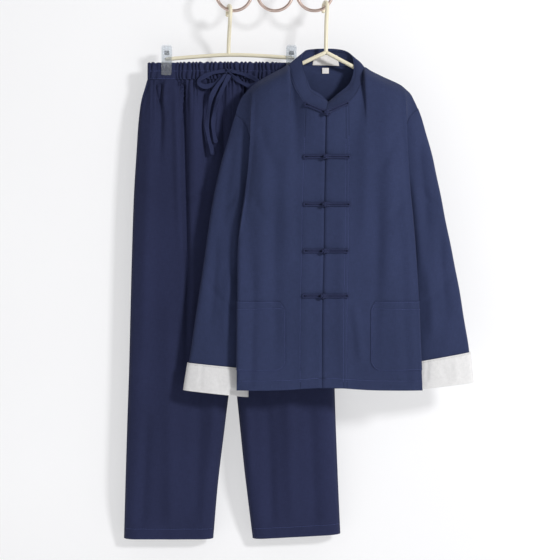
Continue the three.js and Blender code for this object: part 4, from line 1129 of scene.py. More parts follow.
@dataclass
class Jacket:
    """The jacket: two fronts, a back, sleeves with turned-up cuffs, a stand collar and patch pockets."""

    sides: tuple[JacketSide, ...] = (LEFT, RIGHT)
    panel_step: tuple[float, float] = (5.0, 3.5)
    hem: float = 20.0
    hem_rise: float = 6.0  # how much shorter the fronts are where they meet
    back_y: float = -6.0
    pocket_top: float = -687.0
    pocket_bottom: float = -827.0
    pocket_corner: float = 20.0
    pocket_hem: float = 17.0
    pocket_cloth: float = 1.0
    cuff_moved: float = LAID_ON + CLOTH / 2 + 1.2
    collar_cloth: float = 2.4
    label_cloth: float = 0.8
    back_neck: Rows = ((50, -12, -190.7), (78, 0, -191.2), (108, 2, -191.6), (138, 0, -193),
                       (166, -12, -194.5))
    collar_top: Rows = (
        (109.2, -62, -271.8), (93.7, -60, -257), (75.1, -55, -244.9), (69, -50.5, -231), (64.9, -46, -216.6),
        (58.8, -36, -192.1), (56.5, -24, -172), (66, -10, -157.5), (84.8, -2, -153), (108.1, 0, -152),
        (129.2, -2, -153), (148.1, -8, -158), (161.5, -18, -171), (165.2, -28, -187), (165.2, -36, -202.5),
        (162, -44, -218.4), (154.3, -51, -235.1), (135.3, -57.5, -252.6), (110.3, -62, -273.9),
    )
    back_folds: tuple[Fold, ...] = (
        Fold(((40, -300), (36, -560), (42, -868)), 18, 3.0, (0.3, 0.05)),
        Fold(((115, -320), (112, -868)), 24, 2.4, (0.3, 0.05)),
        Fold(((190, -290), (196, -600), (188, -868)), 18, 3.0, (0.3, 0.05)),
        Fold(((-10, -380), (-4, -868)), 13, -2.4, (0.3, 0.05)),
        Fold(((238, -380), (232, -868)), 13, -2.4, (0.3, 0.05)),
        Fold(((60, -230), (110, -250), (170, -236)), 12, -1.6),
    )
    fronts: dict[Side, Cloth] = field(default_factory=dict)
    threads: list[Grid] = field(default_factory=list)

    def build(self) -> None:
        """Makes every piece of the jacket."""
        for side in self.sides:
            self.front(side)
            self.sleeve(side)
            self.cuff(side)
            self.pocket(side)
        self.back()
        self.collar()
        sewn = stitches("jacket_stitching", self.threads)
        dress(sewn, THREAD.material(), "jacket_cloth")

    def front(self, side: JacketSide) -> None:
        """A front panel: its fold falls outside the seam, and stitches hold its facing and its hem.

        Args:
            side: The side's sizes.
        """
        cloth = finer(side.front(), side.out, self.panel_step)
        cloth.fold(side.front_folds).sway(0.7, ((170, 900, 0.1), (-95, 420, 0.4), (60, -700, 0.7)))
        inset = smooth(1 - cloth.places()[..., 0] / 3.2)  # the closing edge is rolled in
        cloth.points += inset[..., None] * np.array([side.out * 0.8, 2.2, 0])
        near = np.exp(-(((cloth.points[..., 0] - CLOSING_X) / 70) ** 2))
        cloth.points[..., 2] += self.hem_rise * near * smooth((-790 - cloth.points[..., 2]) / 82)
        self.fronts[side.side] = cloth
        name = f"jacket_front_{side.side.label}"
        lines = [SewnLine(Axis.ACROSS, at) for at in side.facing_stitches] + [SewnLine(Axis.UP, self.hem)]
        obj = dress(wall("look_" + name, cloth), JACKET_CLOTH.material(lines, f"_front_{side.side.label}"),
                    "jacket_cloth", name)
        self.threads += [cloth.down_line(at, 0.02, 0.86) for at in side.facing_stitches]
        self.threads += [cloth.across_line(self.hem, 0.02, 0.98)]

    def sleeve(self, side: JacketSide) -> None:
        """A sleeve that hangs flat from its armhole.

        Args:
            side: The side's sizes.
        """
        cloth = finer(side.sleeve(), side.out, (5.0, 4.0), True)
        cloth.fold(side.sleeve_folds).fold(side.sleeve_folds[1:4], -1.0)
        cloth.sway(0.6, ((70, 260, 0.2), (-45, 180, 0.6)))
        name = f"jacket_sleeve_{side.side.label}"
        # The armhole seam shows only as a dent with painted shade along it, without thread.
        lines = (SewnLine(Axis.UP, 2.5, 2.2),)
        obj = dress(wall("look_" + name, cloth), JACKET_CLOTH.material(lines, "_sleeve"), "jacket_cloth",
                    name)

    def cuff(self, side: JacketSide) -> None:
        """A white cuff turned up over the sleeve's end, with a few soft creases.

        Args:
            side: The side's sizes.
        """
        cloth = finer(side.cuff(self.cuff_moved), side.out, (2.5, 3.5), True)
        low, high = side.sleeve_end[0], side.cuff_top[0]
        middle = cloth.points[..., 0].mean()
        creases = (Fold(((middle - 30, high), (middle - 34, low)), 3.0, -1.4, (0.1, 0.1)),
                   Fold(((middle + 25, high - 10), (middle + 29, low)), 7.0, 1.4, (0.2, 0.1)),
                   Fold(((middle - 5, high - 20), (middle + 12, low - 6)), 6.0, -1.0))
        cloth.fold(creases)
        name = f"jacket_cuff_{side.side.label}"
        obj = dress(wall("look_" + name, cloth), CUFF_CLOTH.material((SewnLine(Axis.UP, 3.0),), "_edge"),
                    "cuff_cloth", name)
        edge = stitches(f"cuff_stitching_{side.side.label}", [cloth.across_line(3.0)])
        dress(edge, WHITE_THREAD.material(), "cuff_cloth")

    def pocket(self, side: JacketSide) -> None:
        """A patch pocket laid on the front, from a shaped inner edge out to just before the side seam.

        Its inner edge is cut by a quarter circle at the bottom and slants at the hem. Its rows are the
        front's own, read where the pocket lies, and lifted off it.

        Args:
            side: The side's sizes.
        """
        cloth = self.fronts[side.side]
        top, bottom, radius = self.pocket_top, self.pocket_bottom, self.pocket_corner
        z = np.concatenate([bottom + radius * (1 - np.cos(np.linspace(0, np.pi / 2, 8))),
                            np.linspace(bottom + radius, top - self.pocket_hem, 30)[1:],
                            np.linspace(top - self.pocket_hem, top, 6)[1:]])
        down = np.clip((z - bottom) / radius, 0, 1)
        cut = radius * (1 - np.sqrt(1 - (1 - down) ** 2))
        cut = cut + side.pocket_cut * np.clip((z - top + self.pocket_hem) / self.pocket_hem, 0, 1)
        rows = np.interp(z, cloth.points[:, 0, 2], np.arange(len(cloth.points)))
        last = cloth.points.shape[1] - 1
        line = np.stack([resample(cloth.points[:, i], rows) for i in range(last + 1)], 1)
        start = np.array([np.interp(side.pocket_inner * side.out + c, p * side.out, np.arange(last + 1))
                          for c, p in zip(cut, line[..., 0])])
        end = last * 0.93
        cols = start[:, None] + (end - start[:, None]) * np.linspace(0, 1, 60)
        points = cloth.sample(np.broadcast_to(rows[:, None], cols.shape), cols,
                              LAID_ON + self.pocket_cloth / 2)
        patch = Cloth(points[::-1], -cloth.facing)
        name = f"jacket_pocket_{side.side.label}"
        lines = (SewnLine(Axis.UP, self.pocket_hem), SewnLine(Axis.ACROSS, 2.2, 1.2),
                 SewnLine(Axis.UP, 0.6, 1.2))
        obj = dress(wall("look_" + name, patch, self.pocket_cloth),
                    JACKET_CLOTH.material(lines, f"_pocket_{side.side.label}"), "jacket_cloth", name)
        self.threads += [patch.across_line(self.pocket_hem, 0.02, 1), patch.down_line(2.2),
                         patch.across_line(1.2, 0.02, 1), patch.across_line(-2.2, 0.03, 1)]

    def back(self) -> None:
        """The back: one panel from side seam to side seam, that closes over the shoulders.

        Its columns run straight up and turn over a quarter circle under the shoulder and the neck. The
        three columns beside each seam bend round a corner into it.
        """
        left, right = self.sides
        halves = [[(x, SHOULDER_Y, z) for x, z in side.shoulder[:7]][::-1] + [side.neck[-1]]
                  for side in (left, right)]
        tops = np.array(halves[0] + list(self.back_neck) + halves[1][::-1], float)
        seams = [left.side_seam(2), right.side_seam(2)]
        z = left.heights(tops[:, 2])
        last = len(tops) - 1
        share = (np.arange(last + 1) - 2) / (last - 4)
        rise = smooth((z - UNDERARM_Z) / (tops[:, 2] - UNDERARM_Z))
        x = mix(mix(left.back_corner, right.back_corner, share), tops[:, 0], rise)
        over = np.sqrt(1 - (1 - np.clip((tops[:, 2] - z) / ROUNDING, 0, 1)) ** 2)
        points = np.stack([x, mix(tops[:, 1], self.back_y, over), z], -1)
        corners = ((left, seams[0], (0, 1, 2)), (right, seams[1], (last, last - 1, last - 2)))
        for side, seam, columns in corners:
            for i, part in zip(columns, (0.35, 0.72, 1.0)):
                beside = mix(side.back_corner, seam[:, 0] - side.out * 4, smooth((z[:, i] - UNDERARM_Z) / 30))
                corner = np.stack([beside, np.full(len(seam), self.back_y), z[:, i]], -1)
                closing = np.clip((z[:, i] - UNDERARM_Z) / (tops[i, 2] - UNDERARM_Z), 0, 1)[:, None] ** 7
                edge = mix(seam, corner, part)
                points[:, i] = mix(edge, np.stack([np.full(len(seam), tops[i, 0]),
                                                   np.full(len(seam), tops[i, 1]), z[:, i]], -1), closing)
        whole = np.concatenate([seams[0][:, None], points, seams[1][:, None]], 1)
        cloth = finer(whole, -1, self.panel_step)
        cloth.fold(self.back_folds, -1.0).sway(0.7, ((190, 800, 0.3), (-110, 400, 0.8)))
        lines = (SewnLine(Axis.UP, self.hem),)
        obj = dress(wall("look_jacket_back", cloth), JACKET_CLOTH.material(lines, "_back"), "jacket_cloth",
                    "jacket_back")
        self.threads += [cloth.across_line(self.hem, 0.02, 0.98)]

    def collar(self) -> None:
        """The stand collar: an open band from the neck seam to its top edge, topstitched near both.

        Between the two edges it bows outwards by a half sine.
        """
        left, right = self.sides
        low = np.array([*left.neck, *self.back_neck, *right.neck[::-1]], float)
        high = np.array(self.collar_top, float)
        out = np.stack([low[:, 0] - CLOSING_X, (low[:, 1] + 30) * 1.2, np.zeros(len(low))], -1)
        out /= np.linalg.norm(out, axis=1, keepdims=True)
        out[:, 2] = 0.35
        out /= np.linalg.norm(out, axis=1, keepdims=True)
        shares = np.array([0, 0.33, 0.67, 1])
        coarse = np.stack([mix(low, high, s) + out * 2 * math.sin(math.pi * s) for s in shares])
        cloth = finer(coarse, -1, (2.0, 2.5))
        cloth.sway(0.4, ((55, 60, 0.2), (-35, 45, 0.5)))
        lines = (SewnLine(Axis.UP, 3.0), SewnLine(Axis.UP, 34.0))
        obj = dress(wall("look_jacket_collar", cloth, self.collar_cloth),
                    JACKET_CLOTH.material(lines, "_collar"), "jacket_cloth", "jacket_collar")
        self.threads += [cloth.across_line(3.0), cloth.across_line(34.0, 0.03, 0.97)]
        self.labels(coarse, out)

    def labels(self, coarse: Grid, out: Grid) -> None:
        """The plain tape and the plain size tag inside the back of the neck.

        Args:
            coarse: The collar's rows of points.
            out: Its outward directions.
        """
        rows = []
        for share in (0.12, 0.4, 0.66):
            row = 0 if share < 0.33 else 1
            rows.append(mix(coarse[row], coarse[row + 1], (share - (0, 0.33)[row]) / 0.33)[8:11]
                        - out[8:11] * (LAID_ON + self.collar_cloth / 2))
        tape = finer(np.stack(rows), -1, (2.0, 2.5))
        edges = (SewnLine(Axis.UP, 1.5, 0.8), SewnLine(Axis.ACROSS, 1.5, 0.8))
        dress(wall("look_collar_tape", tape, self.label_cloth), TAPE_CLOTH.material(edges, "_tape"),
              "tape_cloth", "collar_tape")
        x, z = np.meshgrid(np.linspace(100, 114, 9), np.linspace(-205.5, -193.5, 8))
        tag = Cloth(np.stack([x, -4.4 - 0.3 * np.sin((x - 100) / 14 * np.pi), z], -1), 1)
        dress(wall("look_size_tag", tag, self.label_cloth), TAPE_CLOTH.material((), "_tag"), "tape_cloth",
              "size_tag")


TROUSERS_Y = 26.0  # the trousers' middle plane
TROUSERS_X = -90.0  # their middle seam
CROTCH_Z = -520.0
WAIST_LEFT, WAIST_RIGHT, WAIST_TOP, WAIST_BOTTOM = -272.0, 73.0, -178.5, -214.4
# Along the waist, by X: half its depth, and how much the elastic gathers it, which is none at the clips.
WAIST_DEPTH = ((-272, 0.2), (-268, 5), (-255, 6.5), (-245, 5.6), (-218, 5.6), (-190, 9), (-100, 12),
               (-10, 9), (19, 5.6), (51, 5.6), (60, 6.5), (69, 5), (73, 0.2))
WAIST_GATHERED = ((-272, 0), (-268, 0.5), (-255, 0.9), (-246, 0.1), (-217, 0.1), (-205, 0.8), (-190, 1),
                  (-100, 1), (-10, 1), (19, 0), (51, 0), (60, 0.6), (69, 0.2), (73, 0))


@dataclass(frozen=True)
class Leg:
    """One trouser leg's outline, in millimetres, and the folds that show on its front."""

    side: Side
    outside: Rows  # height and X of the outside seam
    inside: Rows  # height and X of the inside leg
    hem: tuple[float, float]  # heights at the outside and the inside
    folds: tuple[Fold, ...]


@dataclass
class Trousers:
    """Drawstring trousers held by two clips: two legs, front and back, under a gathered waistband."""

    left: Leg = Leg(
        Side.LEFT,
        ((-215, -272.5), (-226, -276), (-253, -284.5), (-300, -290.9), (-364, -295.2), (-471, -301.6),
         (-642, -306.9), (-824, -311.2), (-985, -316.6), (-1194, -322.3)),
        ((-520, -91.1), (-771, -91.1), (-893, -99.5), (-985, -113.4), (-1070, -122), (-1194, -132.7)),
        (-1194, -1194),
        (
            Fold(((-196, -212), (-192, -380), (-186, -640), (-190, -900)), 7, -11.6, (0.04, 0.5)),
            Fold(((-247, -214), (-243, -300), (-246, -420)), 7, -7.8, (0.08, 0.6)),
            Fold(((-208, -230), (-206, -420), (-200, -640)), 9, 5.6, (0.15, 0.6)),
            Fold(((-150, -214), (-147, -330), (-145, -480)), 7, -7.8, (0.06, 0.6)),
            Fold(((-113, -214), (-110, -330), (-108, -430)), 6, -6.8, (0.08, 0.6)),
            Fold(((-172, -230), (-170, -400), (-166, -560)), 10, 5.0, (0.15, 0.6)),
            Fold(((-252, -216), (-247, -240), (-250, -285)), 4.5, -4.0, (0.1, 0.6)),
            Fold(((-232, -216), (-238, -245), (-237, -300)), 5, 4.0, (0.1, 0.6)),
            Fold(((-208, -214), (-203, -262), (-206, -350)), 5.5, -4.5, (0.08, 0.6)),
            Fold(((-184, -214), (-178, -250), (-181, -300)), 5, 3.4, (0.1, 0.6)),
            Fold(((-262, -250), (-272, -520), (-280, -860)), 13, 4.0),
            Fold(((-225, -640), (-222, -1185)), 16, 5.3, (0.3, 0.1)),
            Fold(((-160, -560), (-158, -860), (-170, -1180)), 14, -4.7, (0.3, 0.1)),
            Fold(((-125, -500), (-122, -800), (-140, -1100)), 12, 3.7),
            Fold(((-270, -900), (-285, -1180)), 12, -3.7, (0.3, 0.1)),
            Fold(((-130, -440), (-180, -470), (-230, -468)), 9, -2.8),
        ),
    )
    right: Leg = Leg(
        Side.RIGHT,
        ((-215, 73.5), (-226, 76.5), (-253, 85.4), (-300, 92.9), (-364, 98.3), (-471, 104.7),
         (-642, 115.4), (-824, 125), (-985, 130.3), (-1184, 138.9)),
        ((-520, -88.9), (-771, -88.9), (-893, -80.3), (-985, -71.1), (-1070, -62.1), (-1194, -47.1)),
        (-1184, -1194),
        (
            Fold(((-62, -214), (-59, -330), (-57, -480)), 7, -7.8, (0.06, 0.6)),
            Fold(((-22, -214), (-24, -400), (-28, -640)), 8, -8.5, (0.05, 0.6)),
            Fold(((28, -214), (32, -320), (35, -430)), 7, -7.1, (0.08, 0.6)),
            Fold(((12, -640), (30, -900), (38, -1180)), 15, 5.6, (0.3, 0.1)),
            Fold(((-40, -700), (-14, -960), (-6, -1185)), 12, -4.7, (0.3, 0.1)),
            Fold(((70, -820), (86, -1180)), 13, -4.0, (0.3, 0.1)),
            Fold(((-62, -860), (-48, -1100)), 9, 3.4),
        ),
    )
    gathers: int = 37
    gather_depth: float = 2.415
    panel_gather_depth: float = 2.8
    gather_reach: float = 36.0  # how far below the waist the gathers fall to a third
    leg_half: float = 17.0
    hem: float = 22.0
    levels: tuple[float, ...] = (-1194, -1070, -940, -830, -720, -610, CROTCH_Z, -498, -470, -430, -370,
                                 -310, -262, -234, -214.7)
    threads: list[Grid] = field(default_factory=list)

    def gather_turns(self, x: Grid) -> tuple[Grid, Grid]:
        """Counts the gathers along the waist, evenly and as they really fall.

        The uneven count is the even one plus two slow sines of it.

        Args:
            x: Places across, in millimetres.
        Returns:
            The even and the uneven count at each place.
        """
        turns = (x - WAIST_LEFT) / (WAIST_RIGHT - WAIST_LEFT) * self.gathers
        return turns, turns + 0.22 * np.sin(turns * 1.7) + 0.13 * np.sin(turns * 0.63 + 1)

    def build(self) -> None:
        """Makes the four panels and the waistband's two halves."""
        for leg in (self.left, self.right):
            for face in Face:
                self.panel(leg, face)
        for face in Face:
            self.waistband(face)
        dress(stitches("trousers_stitching", self.threads), THREAD.material(), "trouser_cloth")

    def coarse(self, leg: Leg, face: Face) -> Grid:
        """A panel's points from its outside seam to its middle seam and inside leg, hem to waist.

        Its depth is held by the clips and the elastic at the top, and eases to an even leg below, whose
        section is round at its seams and flat between them.

        Args:
            leg: The leg's sizes.
            face: Front or back.
        Returns:
            Rows by columns by 3.
        """
        even = np.linspace(0, 1, 25)
        s = mix(even, 0.5 - 0.5 * np.cos(np.pi * even), 0.35)
        rows = []
        for k, level in enumerate(self.levels):
            z = mix(leg.hem[0], leg.hem[1], s) if k == 0 else np.full(len(s), level)
            inside = read(leg.inside, z) if level <= CROTCH_Z else np.full(len(s), TROUSERS_X)
            x = mix(read(leg.outside, z), inside, s)
            fork = smooth((-430 - z) / 90)
            curved = [(1 - (1 - np.clip(t / 0.16, 0, 1)) ** 2.2) ** 0.6 for t in (s, 1 - s)]
            across = curved[0] * mix(1, curved[1], fork)
            depth = mix(read(WAIST_DEPTH, x), self.leg_half * across, smooth((WAIST_BOTTOM - z) / 120))
            rows.append(np.stack([x, TROUSERS_Y - face.value * np.maximum(depth, 0), z], -1))
        return np.stack(rows)

    def panel(self, leg: Leg, face: Face) -> None:
        """A panel with small gathers under the waist, that run down into long folds.

        The gathers are a cosine of the uneven count, that dies away exponentially below the waist.

        Args:
            leg: The leg's sizes.
            face: Front or back.
        """
        inward = -leg.side.value
        cloth = finer(self.coarse(leg, face), inward * face.value, (6.0, 1.7))
        x, z = cloth.points[..., 0], cloth.points[..., 2]
        turns, uneven = self.gather_turns(x)
        reach = self.gather_reach + 22 * np.sin(turns * 0.9) + 14 * np.sin(turns * 2.3 + 0.6)
        reach = np.maximum(reach, 12)
        fall = np.exp(-np.maximum(WAIST_BOTTOM - z, 0) / reach) * read(WAIST_GATHERED, x)
        edge = smooth(np.abs(x - read(leg.outside, z)) / 12)
        depth = self.panel_gather_depth * np.cos(2 * np.pi * uneven) * fall * edge
        cloth.points[..., 1] -= face.value * depth
        if face is Face.FRONT:
            cloth.fold(leg.folds)
        else:
            softer = [Fold(fold.path, fold.width * 1.2, fold.depth * 0.8, fold.fade)
                      for fold in leg.folds[1:]]
            cloth.fold(softer, -1.0)
        cloth.sway(0.8, ((120, 1100, 0.2 * inward), (-70, 520, 0.5), (45, -900, 0.7)))
        name = f"trousers_{face.label}_{leg.side.label}"
        lines = (SewnLine(Axis.UP, self.hem), SewnLine(Axis.ACROSS, 5.0, 1.4))
        obj = dress(wall("look_" + name, cloth), TROUSER_CLOTH.material(lines, "_panel"), "trouser_cloth",
                    name)
        self.threads += [cloth.across_line(self.hem, 0.02, 0.98)]

    def waistband(self, face: Face) -> None:
        """Half the waistband: elastic draws it into close, uneven pleats from top to bottom.

        The pleats are a cosine of the uneven count, pinched by the row of stitches along the middle and
        the one under the top edge.

        Args:
            face: Front or back.
        """
        x = np.linspace(WAIST_LEFT, WAIST_RIGHT, 420)
        share = np.linspace(0, 1, 16)[:, None]
        turns, uneven = self.gather_turns(x)
        drift = uneven + 0.12 * np.sin(share * 5 + turns * 0.8)
        wave = -np.cos(2 * np.pi * drift)
        middle = 0.55 * np.exp(-(((share - 0.5) / 0.07) ** 2))
        upper = 0.35 * np.exp(-(((share - 0.97) / 0.05) ** 2))
        ripple = wave * read(WAIST_GATHERED, x) * (1 - middle - upper)
        depth = read(WAIST_DEPTH, x) + ripple * self.gather_depth + 0.8 * np.sin(np.pi * share)
        top = WAIST_TOP + wave * read(WAIST_GATHERED, x) * 1.2
        y = TROUSERS_Y - face.value * np.maximum(depth, 0)
        points = np.stack([np.broadcast_to(x, y.shape), y, mix(WAIST_BOTTOM, top, share)], -1)
        cloth = Cloth(points, face.value)
        name = f"waistband_{face.label}"
        lines = (SewnLine(Axis.UP, 2.0), SewnLine(Axis.UP, 18.0), SewnLine(Axis.UP, 33.5))
        obj = dress(wall("look_" + name, cloth), TROUSER_CLOTH.material(lines, "_waist"), "trouser_cloth",
                    name)
        self.threads += [cloth.across_line(2.0), cloth.across_line(18.0), cloth.across_line(33.5)]


@dataclass
class Drawstring:
    """The trousers' drawstring: a flat bow with its knot, and two free ends that hang below it."""

    y: float = 6.2
    knot: tuple[float, float] = (-99, -199)
    knot_radius: float = 6.4
    loops: tuple[Rows, ...] = (
        ((-100, -197), (-133.8, -203), (-157, -214), (-162, -224), (-150, -231), (-130, -226), (-114, -213),
         (-100, -201)),
        ((-98, -197), (-64, -206), (-42, -216), (-37, -223), (-52, -230), (-73, -222), (-88, -211),
         (-98, -201)),
    )
    long_end: Rows = (
        (-103, 3, -206.8), (-108.5, 1.4, -213), (-121, 0.2, -229), (-135, 0.8, -255), (-142, 1.5, -290),
        (-145, 2, -314), (-141, 2, -340), (-135, 2, -361), (-131.5, 2, -377),
    )
    short_end: Rows = (
        (-96, 3, -206.8), (-100, 1.4, -214), (-110, 0.2, -234), (-122, 0.8, -262), (-129.5, 1.5, -294),
        (-130.5, 2, -325), (-125, 2, -352),
    )
    width: float = 10.0
    thickness: float = 2.6
    crease: float = 0.55

    def build(self) -> None:
        """Makes the bow and the two ends.

        The loops are ribbons that narrow towards the knot, and the knot is two rings laid crosswise.
        """
        material = CORD_CLOTH.material()
        parts = []
        for rows in self.loops:
            line = spline([(x, self.y - 1.2 * math.sin(k), z) for k, (x, z) in enumerate(rows)], 70)
            share = np.linspace(0, 1, 70)
            across = self.width / 2 * (0.6 + 0.4 * np.sin(np.pi * share) + 0.16 * np.sin(share * 23))
            parts.append(tube("bow_loop", line, across, 1.4 + 0.3 * np.sin(share * 17), 20, False,
                              self.turning(share, 0.75, 11), self.crease))
        turn = np.linspace(0, 2 * np.pi, 60, endpoint=False)
        for tilt, size in ((0.5, 1.0), (-0.9, 0.85)):
            away = self.knot_radius * size * np.cos(turn)
            ring = np.stack([self.knot[0] + away * math.cos(tilt), self.y + 3.4 * np.sin(turn),
                             self.knot[1] + away * math.sin(tilt)], -1)
            parts.append(tube("bow_knot", ring, 3.6, 1.7, 12, True, (math.sin(tilt), 0, -math.cos(tilt))))
        dress(joined("look_drawstring_bow", parts), material, "cord_cloth", "drawstring_bow")
        for name, rows in (("long", self.long_end), ("short", self.short_end)):
            self.end(name, rows, material)

    @staticmethod
    def turning(share: Grid, swing: float, rate: float) -> Grid:
        """The flat face's direction along a ribbon that turns to and fro.

        Args:
            share: Shares of the ribbon's length.
            swing: The largest turn, in radians.
            rate: How fast it turns, in radians for the whole length.
        Returns:
            A direction for each share.
        """
        turn = swing * np.sin(share * rate + 0.7)
        return np.stack([np.sin(turn), -np.cos(turn), 0.3 * np.sin(turn)], -1)

    def end(self, name: str, rows: Rows, material: Material) -> None:
        """One free end, a flat tube of cloth that turns a little as it hangs.

        Its route is the CAD's.

        Args:
            name: Long or short.
            rows: Its route's points, in millimetres.
            material: Its cloth.
        """
        line = spline(rows, 90)
        share = np.linspace(0, 1, 90)
        across = self.width / 2 * (0.95 + 0.15 * np.sin(share * 19 + len(rows)))
        obj = tube(f"look_drawstring_end_{name}", line, across, self.thickness / 2, 20, False,
                   self.turning(share, 0.6, 8 + len(rows) % 3), self.crease)
        dress(obj, material, "cord_cloth", f"drawstring_end_{name}")


@dataclass(frozen=True)
class Frog:
    """A frog closure's middle and the ends of its two arms, in millimetres."""

    name: str
    middle: tuple[float, float]
    left: tuple[float, float]
    right: tuple[float, float]
    proud: float = 0.0  # further off the cloth, where it lies on the collar's seam


@dataclass
class Frogs:
    """The frog closures: a doubled cord on both sides, with a loop on one and a knotted ball on the other."""

    jacket: Jacket
    rows: tuple[Frog, ...] = (
        Frog("collar", (106, -297.5), (62, -279), (152, -276.5), 0.2),
        Frog("chest", (104.8, -387.3), (59.5, -387.6), (154.8, -387.6)),
        Frog("middle", (102.5, -485.7), (59.7, -485.6), (155, -485.6)),
        Frog("waist", (101.7, -582.4), (59.7, -582.3), (151.5, -582.3)),
        Frog("lower", (99.2, -675.5), (57.4, -675.6), (151.9, -675.6)),
    )
    radius: float = 1.9
    spacing: float = 4.2  # between the middles of an arm's two cords
    ball: float = 5.4
    ball_cord: float = 1.35
    reach: float = 4.6  # how far a loop goes past the ball's middle
    loop_spread: float = 3.2  # how much wider the two cords stand round the ball

    def build(self) -> None:
        """Makes every frog."""
        material = CORD_CLOTH.material()
        for frog in self.rows:
            self.loop(frog, material)
            self.button(frog, material)

    def front_y(self, x: Grid, z: Grid) -> Grid:
        """How far forward the jacket stands at places near the closing line.

        It is the foremost of the four nearest points on the panel of that side.

        Args:
            x: Places across.
            z: Heights.
        Returns:
            The cloth's Y at each place.
        """
        found = np.empty(x.shape)
        left = x < CLOSING_X - 2
        for side, here in ((Side.LEFT, left), (Side.RIGHT, ~left)):
            near = self.jacket.fronts[side].points.reshape(-1, 3)
            away = np.hypot(near[:, 0] - x[here, None], near[:, 2] - z[here, None])
            found[here] = near[np.argsort(away)[:, :4], 1].min(1)
        return found

    def arm(self, frog: Frog, end: tuple[float, float], loop: bool) -> Grid:
        """One arm's centre line: out along its upper cord, round its end, and back along its lower cord.

        The two cords stand apart by half the spacing each, and a little more near the end. A loop's
        cords bow wider round the ball.

        Args:
            frog: The closure.
            end: The arm's far end.
            loop: Whether its cord goes on round the ball as a loop.
        Returns:
            Points along the cord.
        """
        centre, tip = np.array(frog.middle, float), np.array(end, float)
        length = np.linalg.norm(tip - centre) - self.spacing / 2
        along = (tip - centre) / np.linalg.norm(tip - centre)
        up = np.array([-along[1], along[0]])
        half = self.spacing / 2
        start = -self.reach if loop else 1.0
        stops = np.concatenate([[start], np.linspace(5.5, length, 9)])
        bow = half + 1.1 * np.exp(-(((length - stops) / 4) ** 2))
        if loop:
            bow = bow + self.loop_spread * np.exp(-((stops / 4.5) ** 2))
        out = centre + along * stops[:, None] + up * bow[:, None]
        back = (centre + along * stops[:, None] - up * bow[:, None])[::-1]
        bend = (centre + along * (length + half))[None]
        places = [out, bend, back]
        if loop:
            places.append((centre + along * (start - half * 1.6))[None])
        flat = np.concatenate(places)
        y = self.front_y(flat[:, 0], flat[:, 1])
        y = np.convolve(np.pad(y, 1, mode="edge"), np.ones(3) / 3, mode="valid")
        y = y - LAID_ON - self.radius - frog.proud
        if not loop:
            away = np.linalg.norm(flat - centre, axis=1)
            y = y - (self.ball + self.radius) * 0.8 * (1 - smooth((away - 3) / 9))
        return np.stack([flat[:, 0], y, flat[:, 1]], -1)

    def loop(self, frog: Frog, material: Material) -> None:
        """The viewer's left arm, whose end is the loop round the ball.

        Args:
            frog: The closure.
            material: Its cord's cloth.
        """
        line = spline(self.arm(frog, frog.left, True), 150, True)
        node = f"frog_loop_{frog.name}"
        dress(tube("look_" + node, line, self.radius, self.radius * 0.9, 12, True), material,
              "cord_cloth", node)

    def button(self, frog: Frog, material: Material) -> None:
        """The viewer's right arm and its ball, a cord woven over and under itself round a core.

        The ball's cord goes four times round while it rises and falls three times, and moves in and out
        six times, so that its strands cross over and under.

        Args:
            frog: The closure.
            material: Its cord's cloth.
        """
        line = spline(self.arm(frog, frog.right, False), 130)
        arm = tube("arm", line, self.radius, self.radius * 0.9, 12)
        x, z = frog.middle
        y = float(self.front_y(np.array([x]), np.array([z]))[0]) - LAID_ON - self.radius - self.ball - 1.6
        turn = np.linspace(0, 2 * np.pi, 160, endpoint=False)
        lift = 1.05 * np.sin(turn * 3)
        size = self.ball - self.ball_cord + 0.45 * np.cos(turn * 6)
        knot = np.stack([x + size * np.cos(turn * 4) * np.cos(lift), y - size * np.sin(lift) * 0.95,
                         z + size * np.sin(turn * 4) * np.cos(lift)], -1)
        ball = tube("knot", spline(knot, 240, True), self.ball_cord, self.ball_cord, 8, True)
        core_line = np.stack([np.full(9, x), y + np.linspace(-3.2, 3.2, 9), np.full(9, z)], -1)
        girth = np.sqrt(np.maximum(1 - (np.linspace(-1, 1, 9) * 0.98) ** 2, 0.02)) * 3.4
        core = tube("core", core_line, girth, girth, 16, False, (0, 0, 1))
        node = f"frog_button_{frog.name}"
        dress(joined("look_" + node, [arm, ball, core]), material, "cord_cloth", node)


